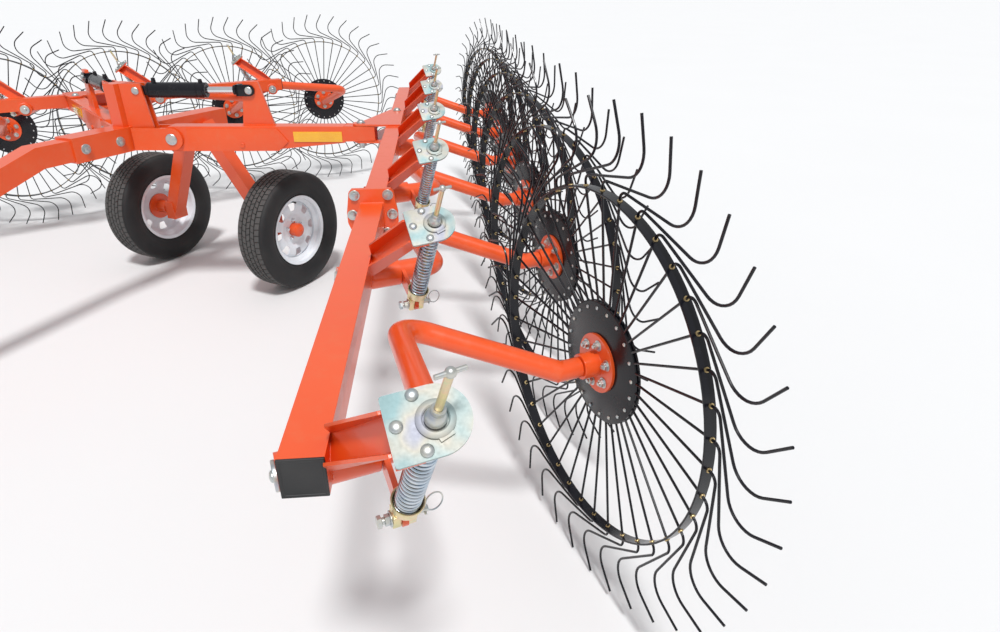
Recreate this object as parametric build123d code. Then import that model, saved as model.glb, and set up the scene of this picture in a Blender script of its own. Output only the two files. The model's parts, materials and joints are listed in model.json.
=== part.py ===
from build123d import *
import math
import os

# Carted V-shaped wheel rake, in millimetres. X is across the machine, +Y points to its rear, +Z is up.
# The floor is z = 0. The wing on the +X side is drawn, and the other one is its mirror image.
# A wing is drawn in its own frame: x outboard, y rearward along its beam, from the beam's front end.

# Rake wheels
tip_radius = 710.0
tine_count = 40
tine_size = 7.0
tine_root_radius = 140.0
band_radius = 488.0
band_width = 30.0
band_thickness = 5.0
disc_radius = 176.0
disc_thickness = 20.0
disc_dish = 38.0
hub_flange_radius = 85.0
hub_flange_thickness = 10.0
hub_collar_radius = 36.0
hub_collar_length = 50.0
hub_nose_length = 14.0
tine_facets = 3

# One row for each corner of a tine: radius, sweep angle in degrees
TINE_CORNERS = [
    (518.0, 0.0),
    (560.0, 20.5),
    (622.0, 24.0),
    (tip_radius - tine_size / 2, 20.0),
]

# Wing beam and its stations
half_v = 30.0
wheel_turn = 19.0
station_count = 6
station_pitch = 800.0
first_station = 60.0
beam_size = 76.0
beam_wall = 5.0
beam_height = 955.0
beam_tail = 64.0
beam_joint = 1552.0
joint_plate_width = 116.0
joint_plate_height = 96.0
joint_plate_thickness = 10.0
cap_thickness = 5.0
front_corner_x = 2629.0

# Crank arms, one at each station
pivot_drop = 28.0
pipe_radius = 30.15
housing_wall = 8.0
housing_out = 110.0
housing_in = 56.0
pivot_reach = 222.0
pivot_bend = 60.0
elbow = (101.0, 641.0, -67.0)
elbow_bend = 78.0
hub_place = (623.0, 641.0)
spindle_radius = 19.0
spindle_reach = 95.0
retainer_radius = 27.0
retainer_thickness = 7.0
running_gap = 0.3

# Lift spring of a station, placed from the station's pivot
lever_thickness = 10.0
lever_root = 46.0
lever_tip = 18.0
spring_pin = (152.0, -79.0, -46.0)
spring_top = (216.0, -186.0, 218.0)
pin_radius = 6.0
pin_length = 84.0
plate_edge = 100.0
plate_reach = 66.0
plate_round = 50.0
plate_thickness = 6.0
plate_lean = 38.0
plate_turn = 4.0
spring_radius = 22.0
spring_wire = 6.0
spring_head = 34.0
cup_radius = 28.0
cup_height = 30.0
cup_wall = 3.0
clevis_width = 40.0
clevis_depth = 26.0
clevis_drop = 14.0
rod_radius = 6.0
rod_over = 98.0
ball_radius = 16.0
ball_hole = 13.0
collar_radius = 27.0
collar_height = 5.0
handle_radius = 4.0
handle_length = 46.0
cup_rise = 26.0
channel_width = 66.0
channel_depth = 38.0
channel_wall = 6.0
channel_root = (0.0, 8.0, 20.0)
pad_width = 40.0

# Knuckle between a wing beam and its cross arm
knuckle_place = (-170.0, 2733.0)
knuckle_bolt = 3092.0
knuckle_plate = 10.0
knuckle_pin_radius = 18.0
knuckle_eye_radius = 42.0
knuckle_head_radius = 27.0
knuckle_head = 12.0

# Cross arms
arm_sweep = 24.9
arm_width = 86.0
arm_root_height = 126.0
arm_tip_height = 84.0
arm_hinge_x = 230.0
arm_pin_radius = 20.0
arm_top_height = 993.0
lug_thickness = 14.0
lug_radius = 56.0
side_gap = 1.0

# Lift cylinders
ram_eye_along = 427.0
ram_height = 1167.0
ram_base_x = 100.0
ram_barrel_radius = 38.0
ram_barrel_length = 300.0
ram_rod_radius = 16.0
ram_pin_radius = 12.5
ram_eye_radius = 28.0
ram_eye_width = 34.0
ram_eye_slack = 3.0
ram_neck = 52.0
ram_end_wall = 14.0
ram_rod_inset = 110.0
lift_degrees = 22.0

# Centre frame, drawbar and running gear
spine_size = 120.0
drawbar_size = 100.0
drawbar_overlap = 320.0
spine_front = -2960.0
spine_rear = -1990.0
axle_y = -2109.0
tyre_radius = 344.0
tyre_width = 204.0
tyre_tread = 140.0
rim_bed = 190.5
rim_flange = 206.0
rim_width = 152.0
rim_wall = 6.0
wheel_x = 540.0
axle_stub_radius = 22.0
rim_disc_place = 20.0
rim_disc_thickness = 8.0
road_hub_radius = 40.0
leg_size = 80.0
hitch_y = -4900.0
hitch_height = 460.0
hitch_bore = 14.0
hitch_gap = 48.0
hitch_ear = 16.0
hitch_ear_width = 70.0
hitch_root = 60.0
jack_y = -4380.0
jack_x = 110.0
jack_bracket_drop = 160.0
jack_sleeve_radius = 36.0
jack_leg_radius = 29.0
jack_foot_radius = 80.0

# The rear wheels' hubs lie on y = 0 before this shift, which centres the whole machine on the origin
hitch_reach = 40.0
hitch_span = hitch_gap + 2 * hitch_ear
rear_reach = tip_radius * math.cos(math.radians(half_v + wheel_turn))
centre_shift = -(hitch_y - hitch_reach + rear_reach) / 2

turn = math.radians(wheel_turn)
out_axis = Vector(math.cos(turn), math.sin(turn), 0)
beam_length = first_station + (station_count - 1) * station_pitch + beam_tail
pivot_height = beam_height - pivot_drop


def wing_location():
    """Place of the wing's own frame in the machine."""
    lateral = math.radians(half_v)
    last_hub_y = (hub_place[0] * math.sin(lateral)
                  + (first_station + (station_count - 1) * station_pitch + hub_place[1]) * math.cos(lateral))
    return Location((front_corner_x, -last_hub_y + centre_shift, 0), (0, 0, half_v))


def station_point(station, offset):
    """A point given from a station's pivot, in the wing's frame."""
    pivot = Vector(0, first_station + station * station_pitch, pivot_height)
    return pivot + Vector(offset)


def hub_centre(station):
    """Centre of a rake wheel's band, in the wing's frame."""
    return Vector(hub_place[0], first_station + station * station_pitch + hub_place[1], tip_radius)


def rod_between(start, end, radius):
    """A round bar from one point to another."""
    run = end - start
    return Plane(origin=start, z_dir=run) * Cylinder(radius, run.length, align=(Align.CENTER, Align.CENTER, Align.MIN))


def box_tube(width, height, wall, length):
    """A square tube along +Y from the origin, with its axis on the Y axis."""
    outer = Box(width, length, height, align=(Align.CENTER, Align.MIN, Align.CENTER))
    inner = Box(width - 2 * wall, length, height - 2 * wall, align=(Align.CENTER, Align.MIN, Align.CENTER))
    return outer - inner


def tine_path():
    """Corners of one tine, from the hub disc out to its tip, in the wheel's plane with z outward."""
    points = [Vector(tine_root_radius, 0, disc_dish)]
    for radius, sweep_angle in TINE_CORNERS:
        angle = math.radians(sweep_angle)
        points.append(Vector(radius * math.cos(angle), radius * math.sin(angle), 0))
    return points


def make_tined_wheel():
    """Hub disc, rolled band and tines, in the band's plane with +Z outward."""
    disc = Pos(0, 0, disc_dish) * Cylinder(disc_radius, disc_thickness)
    disc -= Pos(0, 0, disc_dish) * Cylinder(hub_collar_radius, disc_thickness)
    outer = Cylinder(band_radius + band_thickness / 2, band_width)
    band = outer - Cylinder(band_radius - band_thickness / 2, band_width)
    points = tine_path()
    path = Polyline(*points)
    first_run = points[1] - points[0]
    section = Plane(origin=points[0], x_dir=(0, 1, 0), z_dir=first_run) * RegularPolygon(tine_size / 1.6, tine_facets)
    tine = sweep(section, path=path, transition=Transition.RIGHT)
    tines = [Rot(0, 0, 360 * i / tine_count) * tine for i in range(tine_count)]
    return (disc + band).fuse(*tines)


def make_wheel_hub():
    """Orange flange and collar that carry a rake wheel, in the same frame."""
    disc_back = disc_dish - disc_thickness / 2
    flange_back = disc_back - hub_flange_thickness
    flange = Pos(0, 0, flange_back) * Cylinder(
        hub_flange_radius, hub_flange_thickness, align=(Align.CENTER, Align.CENTER, Align.MIN))
    collar = Pos(0, 0, flange_back) * Cylinder(
        hub_collar_radius, hub_collar_length, align=(Align.CENTER, Align.CENTER, Align.MAX))
    nose = Pos(0, 0, disc_back) * Cylinder(
        hub_collar_radius, disc_thickness + hub_nose_length, align=(Align.CENTER, Align.CENTER, Align.MIN))
    bore_length = hub_collar_length + hub_flange_thickness + disc_thickness
    bore = Pos(0, 0, flange_back - hub_collar_length) * Cylinder(
        spindle_radius + running_gap, bore_length, align=(Align.CENTER, Align.CENTER, Align.MIN))
    return flange + collar + nose - bore


def wheel_plane(station):
    """Plane of a rake wheel's band in the wing's frame, with z outward."""
    return Plane(origin=hub_centre(station), x_dir=(0, 0, 1), z_dir=out_axis)


def make_crank_arm(station):
    """Bent pipe from the pivot to the wheel's spindle, with the spring lever on its pivot leg."""
    inner_end = station_point(station, -out_axis * housing_in)
    corner = station_point(station, out_axis * pivot_reach)
    bend = station_point(station, elbow)
    hub = hub_centre(station)
    pipe_end = hub - out_axis * spindle_reach
    path = FilletPolyline(inner_end, corner, bend, pipe_end, radius=(pivot_bend, elbow_bend))
    pipe = sweep(Plane(origin=inner_end, z_dir=out_axis) * Circle(pipe_radius), path=path)
    disc_front = disc_dish + disc_thickness / 2
    spindle = rod_between(pipe_end - out_axis * pipe_radius / 2, hub + out_axis * disc_front, spindle_radius)
    return pipe + spindle + make_lever(station)


def make_lever(station):
    """Flat lever from the pivot leg forward and down to the spring's pin."""
    pin = Vector(spring_pin)
    root = out_axis * pin.dot(out_axis)
    along = pin - root
    reach = along.length
    bar = Plane(origin=station_point(station, root), x_dir=along, z_dir=out_axis)
    root_edge = lever_root / 2
    outline = make_hull(
        (Pos(0, 0) * Circle(root_edge)).edges() + (Pos(reach, 0) * Circle(lever_tip)).edges())
    plate = extrude(outline, amount=lever_thickness / 2, both=True)
    plate -= Pos(reach, 0) * Cylinder(pin_radius + running_gap, lever_thickness)
    return bar * plate


def spring_axis():
    """Direction from the spring's lower pin up to its plate."""
    return (Vector(spring_top) - Vector(spring_pin)).normalized()


def plate_plane(station):
    """Upper face of a spring plate: x outboard, z along its normal, below the rod's ball."""
    outboard = Vector(math.cos(math.radians(plate_turn)), math.sin(math.radians(plate_turn)), 0)
    normal = Vector(0, -math.sin(math.radians(plate_lean)), math.cos(math.radians(plate_lean)))
    normal = (normal - outboard * normal.dot(outboard)).normalized()
    seat = math.sqrt(ball_radius ** 2 - ball_hole ** 2) + running_gap
    return Plane(origin=station_point(station, spring_top) - normal * seat, x_dir=outboard, z_dir=normal)


def make_spring_plate(station):
    """Zinc D-shaped plate that holds the spring's upper end."""
    square = Pos(-plate_reach / 2, 0) * Rectangle(plate_reach, plate_edge)
    outline = square + Circle(plate_round)
    plate = extrude(outline, amount=-plate_thickness)
    plate += extrude(Circle(collar_radius) - Circle(ball_radius + 1), amount=collar_height)
    plate -= Cylinder(ball_hole, 4 * plate_thickness)
    return plate_plane(station) * plate


def make_channel(station):
    """Open channel and pad that carry a spring plate, welded to the beam's outer side."""
    plane = plate_plane(station)
    pad_place = (-plate_reach + pad_width / 2, 0, -plate_thickness)
    pad = Pos(*pad_place) * Box(
        pad_width, plate_edge, channel_wall, align=(Align.CENTER, Align.CENTER, Align.MAX))
    tip = plane.from_local_coords(Vector(pad_place))
    root = station_point(station, channel_root)
    run = tip - root
    profile = Rectangle(channel_width, channel_depth)
    profile -= Pos(0, channel_wall) * Rectangle(channel_width - 2 * channel_wall, channel_depth)
    channel = Plane(origin=root, x_dir=plane.y_dir, z_dir=run) * extrude(profile, amount=run.length + channel_depth)
    above = plane * Pos(0, 0, -plate_thickness - channel_wall) * Box(
        600, 600, 300, align=(Align.CENTER, Align.CENTER, Align.MIN))
    inboard = Pos(beam_size / 2, root.Y, root.Z) * Box(
        300, 600, 600, align=(Align.MAX, Align.CENTER, Align.CENTER))
    return channel - above - inboard + plane * pad


def make_spring(station):
    """Coil spring as its outer shape: a thick sleeve from the cup up to its seat below the plate."""
    axis = spring_axis()
    start = station_point(station, spring_pin) + axis * (cup_rise + cup_wall + running_gap)
    end = station_point(station, spring_top) - axis * spring_head
    outer = rod_between(start, end, spring_radius)
    inner = rod_between(start, end, spring_radius - spring_wire)
    return outer - inner


def make_spring_rod(station):
    """Screwed rod with a cross handle, down through the spring to the cup and clevis."""
    axis = spring_axis()
    pin = station_point(station, spring_pin)
    ball = station_point(station, spring_top)
    top = ball + axis * rod_over
    frame = Plane(origin=pin, x_dir=out_axis, z_dir=axis)
    rod = rod_between(pin + axis * (cup_rise + cup_wall / 2), top, rod_radius)
    across = frame.x_dir
    handle = rod_between(top - across * handle_length / 2, top + across * handle_length / 2, handle_radius)
    nut = Plane(origin=ball, z_dir=axis) * Sphere(ball_radius)
    cup = frame * Pos(0, 0, cup_rise) * (
        Cylinder(cup_radius, cup_height, align=(Align.CENTER, Align.CENTER, Align.MIN))
        - Pos(0, 0, cup_wall) * Cylinder(
            cup_radius - cup_wall, cup_height, align=(Align.CENTER, Align.CENTER, Align.MIN)))
    lever_frame = Plane(origin=pin, x_dir=out_axis, z_dir=axis - out_axis * axis.dot(out_axis))
    clevis = Box(clevis_width, clevis_depth, cup_rise + clevis_drop + 1,
                 align=(Align.CENTER, Align.CENTER, Align.MIN))
    slot = Box(lever_thickness + 2 * running_gap, 2 * clevis_depth, clevis_drop + lever_tip + 3,
               align=(Align.CENTER, Align.CENTER, Align.MIN))
    clevis = lever_frame * Pos(0, 0, -clevis_drop) * (clevis - slot)
    pin_bar = rod_between(pin - out_axis * pin_length / 2, pin + out_axis * pin_length / 2, pin_radius)
    return rod + handle + nut + cup + clevis + pin_bar


def make_beam():
    """Square wing beam with its pivot housings and spring channels."""
    beam = Pos(0, 0, beam_height) * box_tube(beam_size, beam_size, beam_wall, beam_length)
    bore = []
    for station in range(station_count):
        inner = station_point(station, -out_axis * housing_in)
        outer = station_point(station, out_axis * housing_out)
        beam += rod_between(inner, outer, pipe_radius + housing_wall)
        beam += make_channel(station)
        bore.append(rod_between(inner, outer, pipe_radius + running_gap))
    for hole in bore:
        beam -= hole
    plate = Pos(0, beam_joint, beam_height) * Box(joint_plate_width, 2 * joint_plate_thickness, joint_plate_height)
    inside = Pos(0, beam_joint, beam_height) * Box(
        beam_size - 2 * beam_wall, 2 * joint_plate_thickness, beam_size - 2 * beam_wall)
    return beam + (plate - inside) + make_knuckle()


def make_knuckle():
    """Upper and lower plates on the wing beam that hold the cross arm's eye."""
    eye = knuckle_place
    edge = beam_size / 2
    corners = [
        (edge, eye[1] - 60),
        (edge, knuckle_bolt + 50),
        (-edge, knuckle_bolt + 50),
        (eye[0], eye[1] + knuckle_eye_radius),
        (eye[0], eye[1] - knuckle_eye_radius),
        (-edge, eye[1] - 60),
    ]
    outline = make_face(Polyline(*corners, close=True)) + Pos(*eye) * Circle(knuckle_eye_radius)
    plates = []
    for level in (beam_height + edge, beam_height - edge - knuckle_plate):
        plate = Pos(0, 0, level) * extrude(outline, amount=knuckle_plate)
        plate -= Pos(eye[0], eye[1], level) * Cylinder(
            knuckle_pin_radius, 2 * knuckle_plate + 2, align=(Align.CENTER, Align.CENTER, Align.CENTER))
        plates.append(plate)
    pin = Pos(eye[0], eye[1], beam_height) * Cylinder(knuckle_pin_radius, beam_size + 2 * knuckle_plate)
    head = Pos(eye[0], eye[1], beam_height + edge + knuckle_plate) * Cylinder(
        knuckle_head_radius, knuckle_head, align=(Align.CENTER, Align.CENTER, Align.MIN))
    return plates[0] + plates[1] + pin + head


def make_retainer(station):
    """Zinc disc that keeps a crank's pivot leg in its housing."""
    start = station_point(station, -out_axis * (housing_in + retainer_thickness))
    end = station_point(station, -out_axis * housing_in)
    return rod_between(start, end, retainer_radius)


def make_caps():
    """Black plugs in the two ends of the wing beam."""
    caps = []
    for y in (-cap_thickness, beam_length):
        caps.append(Pos(0, y, beam_height) * Box(
            beam_size, cap_thickness, beam_size, align=(Align.CENTER, Align.MIN, Align.CENTER)))
    return caps


def arm_direction():
    """Outward direction of the +X cross arm, in the machine's frame."""
    sweep_angle = math.radians(arm_sweep)
    return Vector(math.cos(sweep_angle), math.sin(sweep_angle), 0)


def knuckle_point():
    """Centre of the knuckle pin in the machine's frame, at the beam's height."""
    place = wing_location() * Pos(knuckle_place[0], knuckle_place[1], beam_height)
    return place.position


def hinge_point():
    """Centre of the +X arm's lift hinge, in the machine's frame."""
    knuckle = knuckle_point()
    direction = arm_direction()
    run = (knuckle.X - arm_hinge_x) / direction.X
    height = arm_top_height - arm_root_height / 2
    return Vector(arm_hinge_x, knuckle.Y - run * direction.Y, height)


def arm_plane():
    """Upright plane through the +X arm's middle: x outward along the arm, y up, from the hinge."""
    direction = arm_direction()
    return Plane(origin=hinge_point(), x_dir=direction, z_dir=direction.cross(Vector(0, 0, 1)))


def arm_reach():
    """Length of the arm from its hinge to the knuckle pin, in plan."""
    run = knuckle_point() - hinge_point()
    return math.hypot(run.X, run.Y)


def make_cross_arm():
    """Deep box arm with its hinge bore, knuckle eye and upright ram bracket."""
    plane = arm_plane()
    reach = arm_reach()
    top = arm_top_height - hinge_point().Z
    tip_bottom = top - arm_tip_height
    tip = reach - knuckle_eye_radius + 10
    side = make_face(Polyline(
        (0, top), (tip, top), (tip, tip_bottom), (reach * 0.45, top - arm_root_height), (0, top - arm_root_height),
        close=True))
    side += Circle(arm_root_height / 2)
    beam = extrude(side, amount=arm_width / 2, both=True)
    eye_height = beam_size - 2 * side_gap
    knuckle = knuckle_point()
    arm = plane * beam
    eye = Pos(knuckle.X, knuckle.Y, beam_height) * Cylinder(knuckle_eye_radius, eye_height)
    arm += eye
    clear = Pos(knuckle.X, knuckle.Y, beam_height)
    slab = Box(4 * knuckle_eye_radius, 4 * knuckle_eye_radius, 40)
    arm -= clear * Pos(0, 0, eye_height / 2 + 20) * slab
    arm -= clear * Pos(0, 0, -eye_height / 2 - 20) * slab
    arm -= clear * Cylinder(knuckle_pin_radius + running_gap, eye_height + 2)
    arm -= plane * Cylinder(arm_pin_radius + running_gap, arm_width + 2)
    ram_y = ram_height - hinge_point().Z
    bracket = make_face(Polyline(
        (ram_eye_along - 90, top - 1), (ram_eye_along + 80, top - 1), (ram_eye_along + 34, ram_y + 30),
        (ram_eye_along - 34, ram_y + 30), close=True))
    plate = extrude(bracket, amount=6, both=True)
    gap = ram_eye_width / 2 + side_gap + 6
    arm += plane * (Pos(0, 0, gap) * plate)
    arm += plane * (Pos(0, 0, -gap) * plate)
    arm += plane * Pos(ram_eye_along, ram_y) * Cylinder(ram_pin_radius, 2 * gap + 12)
    return arm


def ram_base():
    """Centre of the ram's base pin in the arm's plane."""
    direction = arm_direction()
    along = (ram_base_x - arm_hinge_x) / direction.X
    return Vector(along, ram_height - hinge_point().Z, 0)


def make_ram_barrel():
    """Ram barrel with its base eye, drawn in the machine's frame."""
    base = ram_base()
    plane = arm_plane()
    eye = Pos(base.X, base.Y) * Cylinder(ram_eye_radius, ram_eye_width)
    eye += Pos(base.X, base.Y) * Box(
        ram_neck + 2, 2 * ram_eye_radius, ram_eye_width, align=(Align.MIN, Align.CENTER, Align.CENTER))
    tube = Pos(base.X + ram_neck, base.Y) * Rot(0, 90, 0) * Cylinder(
        ram_barrel_radius, ram_barrel_length, align=(Align.CENTER, Align.CENTER, Align.MIN))
    bore = Pos(base.X + ram_neck + ram_end_wall, base.Y) * Rot(0, 90, 0) * Cylinder(
        ram_rod_radius + running_gap, ram_barrel_length, align=(Align.CENTER, Align.CENTER, Align.MIN))
    hole = Pos(base.X, base.Y) * Cylinder(ram_pin_radius + running_gap, ram_eye_width + 2)
    return plane * (eye + tube - bore - hole)


def make_ram_rod():
    """Bright ram rod with its eye on the arm's bracket."""
    base = ram_base()
    plane = arm_plane()
    start = base.X + ram_neck + ram_end_wall + ram_rod_inset
    end = ram_eye_along - ram_eye_radius + 4
    rod = Pos(start, base.Y) * Rot(0, 90, 0) * Cylinder(
        ram_rod_radius, end - start, align=(Align.CENTER, Align.CENTER, Align.MIN))
    eye = Pos(ram_eye_along, base.Y) * Cylinder(ram_eye_radius, ram_eye_width)
    hole = Pos(ram_eye_along, base.Y) * Cylinder(ram_pin_radius + ram_eye_slack, ram_eye_width + 2)
    return plane * (rod + eye - hole)


def make_centre_frame():
    """Spine, arm hinge lugs, ram mast and axle legs, welded together."""
    hinge = hinge_point()
    spine_y = spine_front + centre_shift
    length = spine_rear - spine_front
    wall = (spine_size - drawbar_size) / 2 - running_gap
    frame = Pos(0, spine_y, hinge.Z) * box_tube(spine_size, spine_size, wall, length)
    plane = arm_plane()
    base = ram_base()
    inboard = (spine_size / 2 - 10 - arm_hinge_x) / arm_direction().X
    lug_outline = make_face(Polyline(
        (inboard, lug_radius), (0, lug_radius), (0, -lug_radius), (inboard, -lug_radius), close=True))
    lug_outline += Circle(lug_radius)
    lug = extrude(lug_outline, amount=lug_thickness / 2, both=True)
    lug_gap = arm_width / 2 + side_gap + lug_thickness / 2
    side = plane * (Pos(0, 0, lug_gap) * lug) + plane * (Pos(0, 0, -lug_gap) * lug)
    side += plane * Cylinder(arm_pin_radius, 2 * lug_gap + lug_thickness)
    mast_root = (30 - arm_hinge_x) / arm_direction().X
    mast_outline = make_face(Polyline(
        (mast_root, 0), (base.X + 60, 0), (base.X + 30, base.Y + 34), (mast_root, base.Y + 34), close=True))
    cheek = extrude(mast_outline, amount=6, both=True)
    cheek_gap = ram_eye_width / 2 + side_gap + 6
    side += plane * (Pos(0, 0, cheek_gap) * cheek) + plane * (Pos(0, 0, -cheek_gap) * cheek)
    side += plane * Pos(base.X, base.Y) * Cylinder(ram_pin_radius, 2 * cheek_gap + 12)
    mast_foot = plane.from_local_coords(Vector(mast_root, 0, 0))
    post = Pos(0, mast_foot.Y, hinge.Z + spine_size / 2 - 4) * Box(
        2 * mast_foot.X + 20, 110, ram_height + 34 - hinge.Z - spine_size / 2 + 4,
        align=(Align.CENTER, Align.CENTER, Align.MIN))
    frame += post
    leg_top = Vector(spine_size / 2, axle_y + centre_shift - 60, hinge.Z)
    inner = wheel_x - rim_width / 2 - 60
    leg_bottom = Vector(inner, axle_y + centre_shift, tyre_radius)
    run = leg_bottom - leg_top
    leg = Plane(origin=leg_top, x_dir=(0, 1, 0), z_dir=run) * Box(
        leg_size, leg_size, run.length, align=(Align.CENTER, Align.CENTER, Align.MIN))
    stub = rod_between(leg_bottom, Vector(wheel_x + 40, leg_bottom.Y, leg_bottom.Z), axle_stub_radius)
    knuckle_block = Pos(leg_bottom.X, leg_bottom.Y, leg_bottom.Z) * Box(70, 100, 110)
    side += leg + stub + knuckle_block
    return frame + side + mirror(side, about=Plane.YZ)


def make_drawbar():
    """Drawbar from inside the spine down to the hitch clevis."""
    hinge = hinge_point()
    front = spine_front + centre_shift
    nose = hitch_y + centre_shift
    route = Polyline(
        (0, front + drawbar_overlap, hinge.Z),
        (0, front - 160, hinge.Z),
        (0, nose + 320, hitch_height),
        (0, nose + hitch_root, hitch_height))
    section = Plane(origin=route @ 0, x_dir=(1, 0, 0), z_dir=(0, -1, 0)) * Rectangle(drawbar_size, drawbar_size)
    bar = sweep(section, path=route, transition=Transition.RIGHT)
    ear = Pos(0, nose - hitch_reach, 0) * Box(
        hitch_ear_width, hitch_reach + hitch_root + 40, hitch_ear, align=(Align.CENTER, Align.MIN, Align.CENTER))
    ear_place = (hitch_gap + hitch_ear) / 2
    ears = Pos(0, 0, hitch_height + ear_place) * ear + Pos(0, 0, hitch_height - ear_place) * ear
    drawbar = bar + ears
    drawbar -= Pos(0, nose, hitch_height) * Cylinder(hitch_bore, 2 * hitch_span)
    return drawbar


def make_tyre():
    """Road tyre about the X axis, seated on its rim between the flanges."""
    bead = rim_bed + running_gap
    seat = rim_width / 2 - rim_wall - running_gap
    bulge = tyre_width / 2
    crown = tyre_tread / 2
    half = [
        (bead, seat),
        (rim_flange + 2, seat),
        (rim_flange + 8, bulge - 12),
        (rim_flange + 50, bulge),
        (tyre_radius - 40, bulge - 6),
        (tyre_radius - 12, crown + 14),
        (tyre_radius, crown),
    ]
    ring = [(r, w) for r, w in half] + [(r, -w) for r, w in reversed(half)]
    body = revolve(make_face(Polyline(*ring, close=True)), axis=Axis.Y)
    return Rot(0, 0, 90) * body


def make_rim():
    """Steel rim with its two flanges and its disc, about the X axis."""
    edge = rim_width / 2
    rim = Cylinder(rim_bed, rim_width) - Cylinder(rim_bed - rim_wall, rim_width)
    flange = Cylinder(rim_flange, rim_wall) - Cylinder(rim_bed - rim_wall, rim_wall)
    rim += Pos(0, 0, edge - rim_wall / 2) * flange
    rim += Pos(0, 0, -edge + rim_wall / 2) * flange
    disc = Pos(0, 0, rim_disc_place) * (
        Cylinder(rim_bed - rim_wall / 2, rim_disc_thickness) - Cylinder(road_hub_radius + 1, rim_disc_thickness))
    return Rot(0, 90, 0) * (rim + disc)


def make_road_hub():
    """Orange hub with its bolting flange, about the X axis."""
    face = rim_disc_place - rim_disc_thickness / 2
    hub = Pos(0, 0, face - 90) * Cylinder(road_hub_radius, 140, align=(Align.CENTER, Align.CENTER, Align.MIN))
    flange = Pos(0, 0, face) * Cylinder(80, 12, align=(Align.CENTER, Align.CENTER, Align.MAX))
    bore = Pos(0, 0, face - 90) * Cylinder(
        axle_stub_radius + running_gap, 120, align=(Align.CENTER, Align.CENTER, Align.MIN))
    return Rot(0, 90, 0) * (hub + flange - bore)


def make_jack_sleeve():
    """Upright sleeve of the parking jack beside the drawbar."""
    bracket = Box(jack_x, 60, 60, align=(Align.MAX, Align.CENTER, Align.CENTER))
    sleeve = Cylinder(jack_sleeve_radius, 520) + Pos(0, 0, -jack_bracket_drop) * bracket
    sleeve -= Cylinder(jack_leg_radius + running_gap, 520)
    sleeve -= Pos(-jack_x, 0, 0) * Box(drawbar_size, 600, 600)
    return Pos(jack_x, jack_y + centre_shift, hitch_height + 240) * sleeve


def make_jack_leg():
    """Inner leg of the parking jack with its foot plate."""
    foot = Cylinder(jack_foot_radius, 8, align=(Align.CENTER, Align.CENTER, Align.MIN))
    leg = Pos(0, 0, 4) * Cylinder(jack_leg_radius, 500, align=(Align.CENTER, Align.CENTER, Align.MIN))
    return Pos(jack_x, jack_y + centre_shift, 0) * (foot + leg)


def build():
    """Every node of the machine as a dictionary of name and shape."""
    nodes = {}
    wing = wing_location()
    stations = range(station_count)
    tined_wheel = make_tined_wheel()
    wheel_hub = make_wheel_hub()
    pieces = {
        "wing_beam": [make_beam()],
        "beam_caps": make_caps(),
        "crank_arms": [make_crank_arm(i) for i in stations],
        "pivot_retainers": [make_retainer(i) for i in stations],
        "spring_plates": [make_spring_plate(i) for i in stations],
        "lift_springs": [make_spring(i) for i in stations],
        "spring_rods": [make_spring_rod(i) for i in stations],
    }
    for name, shapes in pieces.items():
        nodes[name + "_left"] = [wing * shape for shape in shapes]
    for i in stations:
        place = wing * Location(wheel_plane(i))
        nodes[f"rake_wheel_left_{i + 1}"] = [place * tined_wheel]
        nodes[f"wheel_hub_left_{i + 1}"] = [place * wheel_hub]
    nodes["cross_arm_left"] = [make_cross_arm()]
    nodes["ram_barrel_left"] = [make_ram_barrel()]
    nodes["ram_rod_left"] = [make_ram_rod()]
    road_place = Pos(wheel_x, axle_y + centre_shift, tyre_radius)
    nodes["tyre_left"] = [road_place * make_tyre()]
    nodes["rim_left"] = [road_place * make_rim()]
    nodes["road_hub_left"] = [road_place * make_road_hub()]
    for name in list(nodes):
        twin = name.replace("_left", "_right")
        nodes[twin] = [mirror(shape, about=Plane.YZ) for shape in nodes[name]]
    nodes["centre_frame"] = [make_centre_frame()]
    nodes["drawbar"] = [make_drawbar()]
    nodes["jack_sleeve"] = [make_jack_sleeve()]
    nodes["jack_leg"] = [make_jack_leg()]
    return nodes


def main():
    """Write one file for each node."""
    os.makedirs("parts", exist_ok=True)
    for name, shapes in build().items():
        solids = []
        for shape in shapes:
            solids.extend(shape.solids())
        whole = solids[0] if len(solids) == 1 else Compound(children=solids)
        export_step(whole, f"parts/{name}.step")


if __name__ == "__main__":
    main()
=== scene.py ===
import json
import math

import bmesh
import bpy
from mathutils import Matrix, Vector

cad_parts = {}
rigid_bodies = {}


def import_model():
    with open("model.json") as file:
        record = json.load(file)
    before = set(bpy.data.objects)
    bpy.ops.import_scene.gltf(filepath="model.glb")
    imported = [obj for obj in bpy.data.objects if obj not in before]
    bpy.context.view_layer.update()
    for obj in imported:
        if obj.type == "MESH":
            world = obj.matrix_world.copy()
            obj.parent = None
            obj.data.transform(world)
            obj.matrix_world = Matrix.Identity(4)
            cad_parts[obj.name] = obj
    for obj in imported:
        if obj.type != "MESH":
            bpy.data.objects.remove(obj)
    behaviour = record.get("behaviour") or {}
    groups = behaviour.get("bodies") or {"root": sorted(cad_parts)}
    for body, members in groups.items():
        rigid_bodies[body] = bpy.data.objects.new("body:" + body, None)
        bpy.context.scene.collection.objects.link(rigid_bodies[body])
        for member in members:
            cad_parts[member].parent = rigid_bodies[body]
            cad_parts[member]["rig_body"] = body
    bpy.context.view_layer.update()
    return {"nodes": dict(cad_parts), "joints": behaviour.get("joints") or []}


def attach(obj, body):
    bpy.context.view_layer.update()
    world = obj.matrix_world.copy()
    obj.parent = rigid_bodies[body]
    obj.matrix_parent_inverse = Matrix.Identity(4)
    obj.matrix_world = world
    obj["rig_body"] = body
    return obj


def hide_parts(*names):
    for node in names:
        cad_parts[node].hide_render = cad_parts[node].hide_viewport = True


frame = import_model()

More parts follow.
